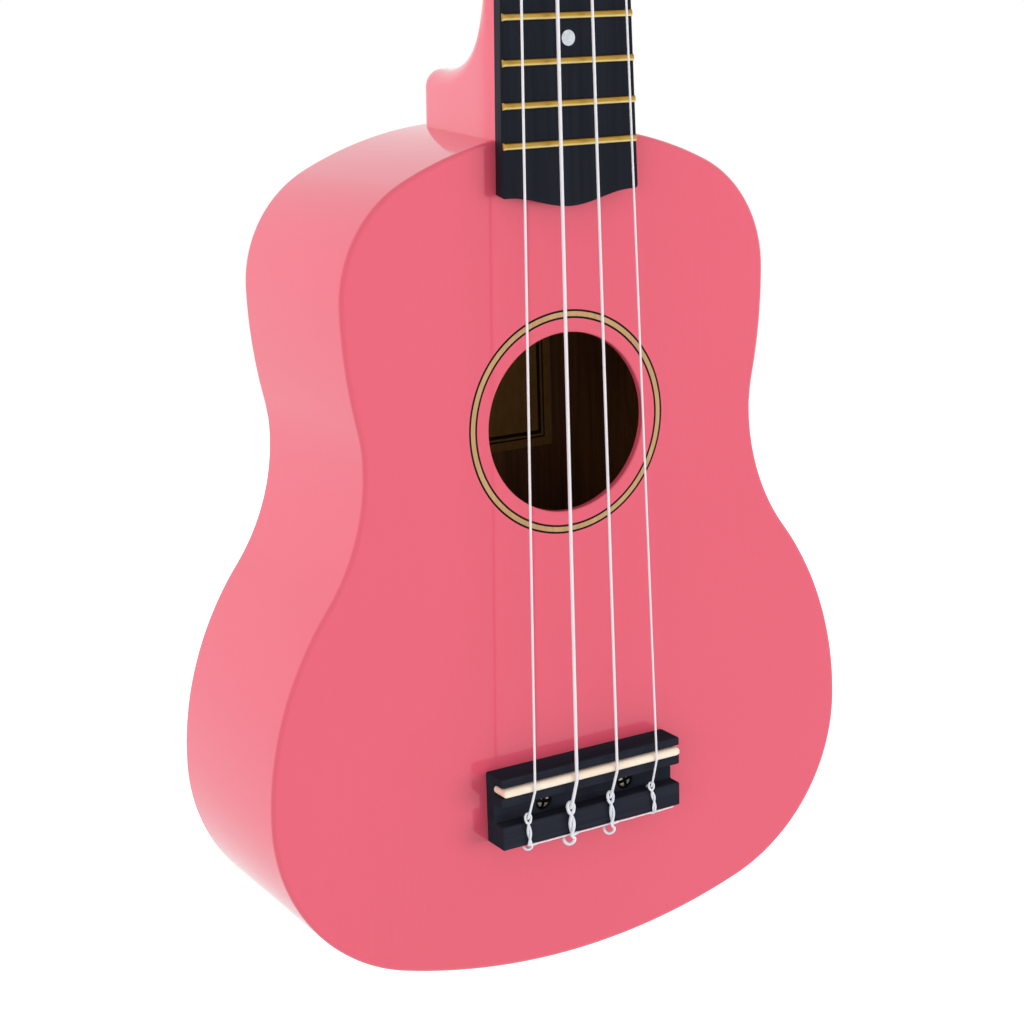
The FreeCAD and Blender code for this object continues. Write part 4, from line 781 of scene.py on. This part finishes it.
def fretboard():
    """The board with eased edges and a double-curved end."""
    tip, corner = 3.3, 1.1
    end = board_low[2] + tip
    half = board_half(end)
    flat = half - 2.0
    t = np.linspace(0, 1, 40)
    wave = 0.5 - 0.5 * np.cos(math.pi * t)
    right_wave = np.stack([flat * (1 - t), end - tip * wave], 1)
    dip = np.concatenate([(right_wave * [-1, 1])[:-1], right_wave[::-1]])
    nut_end = [(NUT_WIDTH / 2, 0.0), (-NUT_WIDTH / 2, 0.0)]
    corners = [(-half, end)] + dip.tolist() + [(half, end)] + nut_end
    radii = [corner] + [0] * len(dip) + [corner, 0.3, 0.3]
    made = rounded(corners, radii, 8, closed=True)
    path = np.array([m[0] for m in made])
    normal = unit(np.array([m[1] + m[2] for m in made]))
    side = [(-1.0, -BOARD_THICK), (0.0, -BOARD_THICK), (-BOARD_LEAN, FLUSH)]
    rows = rows_along(path, normal, rounded(side, [0, 0.6, 0], 5)[1:])
    for points, _, _ in rows:
        # the end at the nut stays upright
        points[:, 2] = np.where(path[:, 1] > -0.5, path[:, 1], points[:, 2])
    own(loft("fretboard_wood", rows, [BOARD], caps=True), "fretboard")


# Each station of a fret's bevelled end: how far in it is, its share of the height, its lean.
FRET_END = ((0.0, 0.3, 1.0), (0.1, 0.62, 0.8), (0.35, 0.93, 0.4), (0.7, 1.0, 0.0))


def frets():
    """Twelve brass frets: low rounded crowns and bevelled ends, their feet sunk a little into the
    board.
    """
    wide, tall, sunk = 0.95, 0.9, 0.25
    a = np.linspace(0, math.pi, 15)
    across = np.concatenate([[-wide], -wide * np.cos(a), [wide]])
    rise = np.concatenate([[-sunk], tall * np.sin(a) ** 0.8, [-sunk]])
    slope = unit(np.gradient(np.stack([across, rise], 1), axis=0))
    for number in range(1, 13):
        z = fret_z(number)
        half = board_half(z) - 0.3
        stations = [(cut - half, share, -lean) for cut, share, lean in FRET_END]
        stations += [(half - cut, share, lean) for cut, share, lean in FRET_END[::-1]]
        rows = []
        for x, share, lean in stations:
            height = np.where(rise > 0, rise * share, rise)
            points = np.stack([np.full(len(rise), x), -BOARD_THICK - height, z + across], 1)
            flat = math.sqrt(1 - lean * lean) if abs(lean) < 1 else 0.3
            normal = np.insert(-slope * flat, 0, lean, axis=1)
            rows.append((points, normal, normal))
        piece = loft(f"fret_{number:02d}", rows, [FRET], caps=True)
        own(piece, "frets" if number == 1 else None)


def dots():
    """A shell dot halfway between two frets, in three places."""
    face, radius = -BOARD_THICK - 0.03, 2.1
    profile = rounded([(1.0, face), (radius, face), (radius, 1.0 - BOARD_THICK)], [0, 0.12, 0], 4)
    for index, number in enumerate((5, 7, 10)):
        middle = (fret_z(number - 1) + fret_z(number)) / 2
        own(lathe(f"dot_{index}", profile, [DOT], 64, (0.0, middle)),
            "position_dots" if index == 0 else None)


def nut():
    """A bone nut with a rounded crest and four slots."""
    nut_low, nut_high = box_mm("nut")

    def distance(x, y, z):
        lean = (z - nut_low[2]) / (nut_high[2] - nut_low[2])
        crest = nut_low[1] + 1.6 * np.clip(lean, 0, 1) ** 2
        shape = round_max(slab(z, nut_low[2] + 0.02, nut_high[2]), crest - y, 1.1)
        shape = round_max(shape, slab(x, nut_low[0], nut_high[0]), 0.5)
        shape = np.maximum(shape, y - FLUSH)
        for index, (_, _, _, diameter) in enumerate(STRINGS):
            off, room = np.abs(x - (index - 1.5) * NUT_SPACING), diameter / 2 + 0.1
            above = y - NUT_FLOOR - np.clip(z - 0.5, 0, None) * 0.3 + diameter / 2
            notch = np.maximum(off - room, above)
            pit = np.hypot(off, above) - room
            shape = round_max(shape, -np.minimum(notch, pit), 0.15)
        return shape

    own(solid("nut_bone", distance, nut_low, nut_high, 0.3, [IVORY]), "nut")


fretboard()
frets()
dots()
nut()


# ---- bridge

SLOT_HALF, SADDLE_HALF = 1.45, 1.38
LAND_Z, TIE_Z = SADDLE_Z - 4.35, SADDLE_Z - 10.15
TIE_Y = -5.6
SCREW_X, SCREW_Y, SCREW_Z = 13.8, CHANNEL_Y + 1.4, (TIE_Z + LAND_Z) / 2


def bridge():
    """The bar with its saddle slot, channel, string holes and screw wells."""
    def distance(x, y, z):
        shape = round_box(x, y, z, bridge_low, (bridge_high[0], 4.0, bridge_high[2]), 0.45)
        channel = round_max(slab(z, TIE_Z, LAND_Z), y - CHANNEL_Y, 0.25)
        slot = np.maximum(np.abs(z - SADDLE_Z) - SLOT_HALF, y - CHANNEL_Y)
        shape = round_max(shape, -channel, 0.4)
        shape = round_max(shape, -slot, 0.18)
        for index in range(4):
            hole = np.hypot(x - (index - 1.5) * SADDLE_SPACING, y - TIE_Y) - 0.8
            shape = round_max(shape, -np.maximum(hole, slab(z, bridge_low[2] - 2, TIE_Z + 1)), 0.15)
        for sign in (-1, 1):
            well = np.hypot(x - sign * SCREW_X, z - SCREW_Z) - 2.62
            shape = round_max(shape, -np.maximum(well, slab(y, -9.0, SCREW_Y)), 0.12)
        return np.maximum(shape, y - FLUSH)

    own(solid("bridge_wood", distance, bridge_low, bridge_high, 0.3, [BRIDGE]),
        "bridge")


def saddle():
    """The bone saddle, rounded over its crown and ends."""
    def distance(x, y, z):
        top, flank = saddle_low[1] - y, np.abs(z - SADDLE_Z) - SADDLE_HALF
        ends = round_max(slab(x, saddle_low[0] + 0.05, saddle_high[0] - 0.65), top, 1.1)
        shape = round_max(round_max(ends, flank, 1.33), round_max(top, flank, 1.25), 0.5)
        return np.maximum(shape, y - saddle_high[1])

    own(solid("saddle_bone", distance, saddle_low, saddle_high, 0.25, [IVORY]), "saddle")


def cross_screw(index, sign, angle):
    """A bridge screw, its domed head at negative Y with a cross recess."""
    head, dome_r, tall, shank, length = 2.5, 4.0, 1.35, 1.3, 3.0
    arm_long, arm_half, recess_deep = head * 0.76, 0.52, 1.05

    def distance(x, y, z):
        r = np.hypot(x, z)
        dome = np.hypot(r, y - dome_r + tall) - dome_r
        cap = round_max(round_max(r - head, dome, 0.15), y, 0.15)
        shape = np.minimum(cap, np.maximum(r - shank, slab(y, -0.1, length)))
        arms = [round_box(x, y, z, (-wide, -9, -high), (wide, 9, high), 0.2)
                for wide, high in ((arm_long, arm_half), (arm_half, arm_long))]
        recess = np.maximum(np.minimum(*arms), y + tall - recess_deep)
        return round_max(shape, -recess, 0.08)

    c, s = math.cos(angle), math.sin(angle)
    place = np.array([[c, 0, s], [0, 1, 0], [-s, 0, c]]), np.array([sign * SCREW_X, SCREW_Y, SCREW_Z])
    own(solid(f"bridge_screw_{index}", distance, (-head, -tall, -head), (head, length, head), 0.15,
              [SCREW], place), "bridge_screws" if index == 0 else None)


bridge()
saddle()
cross_screw(0, -1, math.radians(12))
cross_screw(1, 1, math.radians(-16))


# ---- strings

# Each string's knot: the eye's shift from the string and its height, the ring's shift from the
# eye, its radius and its drop, and the twisted pair's half turns and bow.
KNOTS = ((-1.75, 1.1, 0.4, 0.95, 0.6, 1.5, 0.1), (-1.5, 1.2, 0.15, 1.25, 1.9, 1.2, 0.2),
         (-1.65, 1.25, 0.3, 1.2, 2.1, 1.25, 0.3), (-1.1, 0.9, 0.95, 0.55, 0.1, 2.0, 0.4))
# The turns round a post before its hole, and their pitch in diameters.
WRAP_TURNS, WRAP_PITCH = 2.3, 1.07
POST_HOLE = 7.0
CUT_END_R = 0.22


def wrap_start(diameter):
    """How far above the headstock a string meets its post."""
    return 5.9 - 2.5 * diameter


def wrap_line(side, diameter, angles):
    """The line of the turns round a post, from where the string arrives to its hole."""
    reach = POST_RADIUS + diameter / 2 + 0.02
    turns = angles / (2 * math.pi)
    rise = wrap_start(diameter) + diameter * WRAP_PITCH * np.minimum(turns, WRAP_TURNS)
    rise += (POST_HOLE - rise) * smooth(turns, WRAP_TURNS, 3.0)
    return np.stack([-side * reach * np.cos(angles), -rise, reach * np.sin(angles)], 1)


def knot(index, x, r, crest):
    """A string's line from the saddle through its knot, and its cut end's."""
    tail = bridge_low[2]
    lean, eye_tall, foot, ring_r, ring_drop, half_turns, pair_bow = KNOTS[index]
    wide, deep = r * 1.08 + 0.03, r * 0.88
    pair_y = bridge_low[1] - r - 0.04 - deep
    eye = np.array([x + lean, pair_y - 0.05, TIE_Z + 1.35])
    eye_wide, eye_high = 0.62 + 0.75 * r, (1.05 + 0.75 * r) * eye_tall
    foot_x, foot_z, top_z = eye[0] + foot, tail + 0.35, eye[2] - eye_high * 0.9
    mouth = np.array([x, TIE_Y, TIE_Z + 0.1])
    # over the saddle, through the eye and down the tie hole
    main = [crest + [0, 0, 0.5], crest + [0, 0.02, -0.3], crest + [lean * 0.04, 0.12, -1.0],
            eye + [-lean * 0.1, -r * 0.9, eye_high * 0.75], eye + [0, deep * 0.9, -0.1],
            (eye + mouth) / 2 + [0.15, 0.4, -0.5], mouth, mouth + [0, 0, -2.0],
            mouth + [0, 0, tail - TIE_Z + 0.4]]
    # a ring past the block's lower edge, then up the face
    ring = []
    for t in np.linspace(0, 1, 10):
        a = math.radians(115 + 315 * t)
        ring.append([foot_x + ring_r * math.cos(a), TIE_Y - 0.6 + (pair_y - TIE_Y + 0.6) * t ** 0.7,
                     tail - ring_drop + ring_r * math.sin(a)])
    # two strands twisted together
    up, down = [], []
    for t in np.linspace(0, 1, 13):
        a = math.pi * half_turns * (1 - t)
        middle = np.array([foot_x * (1 - t) + eye[0] * t + pair_bow * math.sin(math.pi * t), pair_y,
                           foot_z + (top_z - foot_z) * t])
        swing = np.array([wide * math.sin(a), deep * math.cos(a), 0])
        up.append(middle + swing)
        down.append(middle - swing)
    # the eye that the string goes through
    loop = []
    for t in np.linspace(0.09, 0.91, 11):
        a = -math.pi / 2 + 2 * math.pi * t
        across = eye_wide * math.cos(a) * (1 + 0.22 * math.sin(a))
        loop.append(eye + [across, 0.25 * math.sin(a), eye_high * math.sin(a)])
    # the cut end runs along the block's lower edge to the next knot
    stop = min(x + SADDLE_SPACING + 1.2, bridge_high[0] - 2.8)
    cut_end = [[foot_x + 0.3, pair_y, tail + 0.15]]
    for t in (0.16, 0.35, 0.55, 0.78, 1.0):
        cut_end.append([foot_x + (stop - foot_x) * t, bridge_low[1] - 0.3 - 0.06 * math.sin(7 * t),
                        tail + 0.1 - 0.12 * math.sin(math.pi * t)])
    return curve(main + ring + up + loop + down[::-1], 0.22), curve([down[0]] + cut_end, 0.3)[1:]


def strand(index, letter, side, height, diameter):
    """One string: knot at the tie block, over the saddle and nut, to its post."""
    r = diameter / 2
    x = (index - 1.5) * SADDLE_SPACING
    crest = np.array([x, saddle_low[1] - r - 0.02, SADDLE_Z])
    tied, end = knot(index, x, r, crest)
    nut_point = np.array([(index - 1.5) * NUT_SPACING, NUT_FLOOR - r, NUT_THICK * 0.3])
    arrival = on_head([side * (POST_SIDE - POST_RADIUS - r), -wrap_start(diameter), height])
    before = nut_point + unit(arrival - nut_point) * 2.0
    after = nut_point + unit(crest - nut_point) * 2.0
    bend = [(1 - t) ** 2 * before + 2 * t * (1 - t) * nut_point + t * t * after
            for t in np.linspace(0, 1, 9)]
    lap = wrap_line(side, diameter, np.radians([20, 14, 7])) + [side * POST_SIDE, 0, height]
    path = np.concatenate([on_head(lap), np.linspace(arrival, before, 12)[:-1], bend,
                           np.linspace(nut_point, crest, 40)[2:-1], tied, end])
    thin = np.full(len(path), r)
    thin[-len(end):] = np.linspace(r, CUT_END_R, len(end))
    thin[-len(end) + 8:] = CUT_END_R
    own(tube(f"string_{letter}_strand", path, thin, [NYLON]), f"string_{letter}")


def windings(letter, side, diameter, place):
    """The turns round the post and the cut end through its hole."""
    r = diameter / 2
    reach = POST_RADIUS + r + 0.02
    turns = wrap_line(side, diameter, np.linspace(0, 3 * 2 * math.pi, 170))
    tail = [[side * reach * across, -POST_HOLE - 0.08 * across, 0.12]
            for across in (-0.55, 0.2, 0.9, 1.5, 1.85)]
    path = np.concatenate([turns[:160], curve(np.concatenate([turns[160:], tail]), 0.3)])
    # it starts thinner, inside the end of the strand
    thin = r * np.interp(np.arange(len(path)), [5, 9], [0.78, 1.0])
    own(tube(f"string_{letter}_windings", path, thin, [NYLON], 12, place),
        f"string_wraps_{letter}", body=f"post_{letter}")


for index, (letter, side, height, diameter) in enumerate(STRINGS):
    strand(index, letter, side, height, diameter)
    windings(letter, side, diameter, head_place(side, height))


# ---- tuners

# The worm's axis: how far behind the headstock's face, and how far below the post's.
GEAR_DEEP, WORM_DROP = 16.5, 7.5
SEAT_END = 18.2
BUTTON_POWER = 2.5


def ferrule(index, place):
    """The flanged bush round a post."""
    bore, flange, barrel, proud, deep = 3.05, 5.25, 4.0, -1.0, 5.5
    corners = [(bore, deep), (bore, proud), (flange, proud), (flange, 0), (barrel, 0), (barrel, deep)]
    profile = rounded(corners, [0, 0.25, 0.45, 0, 0, 0], 5, closed=True)
    own(lathe(f"ferrule_{index}", profile, [CHROME], 64, closed=True, place=place),
        "ferrules" if index == 0 else None)


def post(letter, place):
    """String post: a waisted head with a domed top, its hole, collar and gear seat."""
    def distance(x, y, z):
        r = np.hypot(x, z)
        waist = 0.28 * np.exp(-((y + 6.2) / 2.4) ** 2)
        barrel = round_max(r - (POST_RADIUS - waist), -POST_RISE - y, 0.9)
        barrel = np.maximum(barrel, y - 14.0)
        collar = round_max(r - 4.0, slab(y, 13.3, 14.8), 0.15)
        seat = np.maximum(r - 2.5, slab(y, 14.0, SEAT_END))
        shape = np.minimum(np.minimum(barrel, collar), seat)
        hole = np.hypot(y + POST_HOLE, z) - 0.85
        return round_max(shape, -hole, 0.25)

    own(solid(f"post_{letter}_turned", distance, (-4.0, -POST_RISE, -4.0), (4.0, SEAT_END, 4.0), 0.4,
              [CHROME], place), f"tuner_post_{letter}", body=f"post_{letter}")


def button(letter, side, place):
    """A pearl button: a soft waisted oval with a collar at the shaft."""
    start, length = 14.5, 16.5

    def distance(x, y, z):
        s = x * side - start
        t = np.clip(s / length, 0, 1)
        wide = 4.6 + 2.4 * np.sin(math.pi * t ** 0.8) ** 0.8
        thick = 3.0 + 1.25 * np.sin(math.pi * t ** 0.9)
        across = (z + WORM_DROP) / wide
        deep = (y - GEAR_DEEP) / thick
        oval = np.abs(across) ** BUTTON_POWER + np.abs(deep) ** BUTTON_POWER
        oval = (oval ** (1 / BUTTON_POWER) - 1) * 3.2
        grip = round_max(oval, slab(s, 2.0, length), 2.4)
        ring = np.hypot(z + WORM_DROP, y - GEAR_DEEP)
        collar = round_max(ring - 2.7, slab(s, 0.0, 3.5), 0.4)
        return soft_min(grip, collar, 1.2)

    low = np.array([start if side > 0 else -start - length, GEAR_DEEP - 4.25, -WORM_DROP - 7.0])
    high = low + [length, 8.5, 14.0]
    own(solid(f"button_{letter}_pearl", distance, low, high, 0.5, [BUTTON], place),
        f"tuner_button_{letter}", body=f"knob_{letter}")


for index, (letter, side, height, _) in enumerate(STRINGS):
    place = head_place(side, height)
    ferrule(index, place)
    post(letter, place)
    button(letter, side, place)


# ---- CAD nodes kept as they are

# The finish and bevel for a name with these letters in it; the first match counts.
KEPT = {"tuner_plate": (PLATE, 0.25), "tuner_gear": (GEAR, 0.1), "tuner_worm": (CHROME, 0.08),
        "gear_screw": (CHROME, 0.12), "plate_screws": (CHROME, 0.12), "label": (PAPER, 0),
        "brace": (SPRUCE, 0), "bridge_plate": (SPRUCE, 0), "": (INSIDE, 0)}
for name, thing in frame["nodes"].items():
    if thing.hide_render:
        continue
    material, bevel = next(KEPT[part] for part in KEPT if part in name)
    thing.data.materials.clear()
    thing.data.materials.append(material)
    if bevel:
        thing.modifiers.new("weld", "WELD").merge_threshold = 0.00001
        soft = thing.modifiers.new("bevel", "BEVEL")
        soft.width, soft.segments, soft.limit_method = bevel * MM, 2, "ANGLE"
        soft.angle_limit = math.radians(40)
        soft.harden_normals = True


# ---- stage, light and camera

# From here on lengths are metres.
FLOOR_DROP, FLOOR_RADIUS = TAIL_Z * MM - 0.30, 2.4
WHITE = (1, 1, 1, 1)


def pale_floor():
    """A pale finish that brightens to the background's white away from the object."""
    s = Shader("pale_floor")
    grit = s.ramp(s.noise((30, 30, 30), 3.0), 0.3, 0.7)
    diffuse = s.add("BsdfDiffuse", {"Color": s.blend(grit, (236, 236, 236), (244, 244, 244))})[0]
    distance = s.add("VectorMath", {0: s.place}, operation="LENGTH")["Value"]
    glow = s.add("Emission", {"Color": WHITE, "Strength": s.ramp(distance, 0.5, 1.6, 0.45, 1.0)})[0]
    white = s.add("Emission", {"Color": WHITE, "Strength": 1.0})[0]
    seen, mirrored = s.rays()
    bright = s.add("AddShader", {0: diffuse, 1: glow})[0]
    direct = s.add("MixShader", {0: seen, 1: diffuse, 2: bright})[0]
    s.add("OutputMaterial", {"Surface": s.add("MixShader", {0: mirrored, 1: direct, 2: white})[0]})
    return s.owner


def floor():
    """A wide pale disc under the object."""
    mesh = bpy.data.meshes.new("floor")
    mesh.from_pydata([(x, y, 0.0) for x, y in circle(96) * FLOOR_RADIUS], [], [tuple(range(96))])
    mesh.materials.append(pale_floor())
    thing = put("floor", mesh)
    thing.location = (0.0, 0.0, FLOOR_DROP)


def lamp(name, location, target, power):
    """A soft round lamp that mirrors don't show."""
    light = bpy.data.lights.new(name, "AREA")
    light.shape, light.size, light.energy = "DISK", 1.4, power
    thing = put(name, light)
    thing.location = location
    thing.rotation_euler = (Vector(target) - Vector(location)).to_track_quat("-Z", "Y").to_euler()
    thing.visible_glossy = False


def world(level):
    """White to the camera, mirrors and glass, and plain soft light to the rest."""
    s = Shader("studio", "worlds")
    lit, white = (s.add("Background", {"Color": WHITE, "Strength": strength})[0]
                  for strength in (level, 1.0))
    shown = s.maths("MAXIMUM", *s.rays())
    s.add("OutputWorld", {"Surface": s.add("MixShader", {0: shown, 1: lit, 2: white})[0]})
    bpy.context.scene.world = s.owner


CAMERA_AT = (-0.29393, -0.46883, -0.13650)
CAMERA_TURN = (30.4115, 13.9893, 1.8356)
CAMERA_LENS = 71.94


def camera():
    """The photograph's view, from a place and a turn in degrees: azimuth, fall and roll."""
    data = bpy.data.cameras.new("camera")
    data.sensor_width, data.lens = 36.0, CAMERA_LENS
    data.clip_start, data.clip_end = 0.01, 50.0
    az, fall, roll = np.radians(CAMERA_TURN)
    ahead = np.array([math.sin(az) * math.cos(fall), math.cos(az) * math.cos(fall), -math.sin(fall)])
    right = unit(np.cross(ahead, [0, 0, 1]))
    up = np.cross(right, ahead)
    c, s = math.cos(roll), math.sin(roll)
    turn = Matrix(np.stack([right * c - up * s, up * c + right * s, -ahead], 1).tolist()).to_4x4()
    turn.translation = CAMERA_AT
    bpy.context.scene.camera = put("camera", data)
    bpy.context.scene.camera.matrix_world = turn


floor()
world(0.6)
lamp("key", (-1.9, -1.2, 0.3), (0, 0, -0.25), 11.5)
lamp("fill", (1.4, -1.6, -0.45), (0, 0, -0.25), 22.5)
lamp("rim", (-1.2, 1.5, 0.4), (0, 0, -0.2), 17)
camera()
bpy.context.scene.view_settings.view_transform = "Standard"
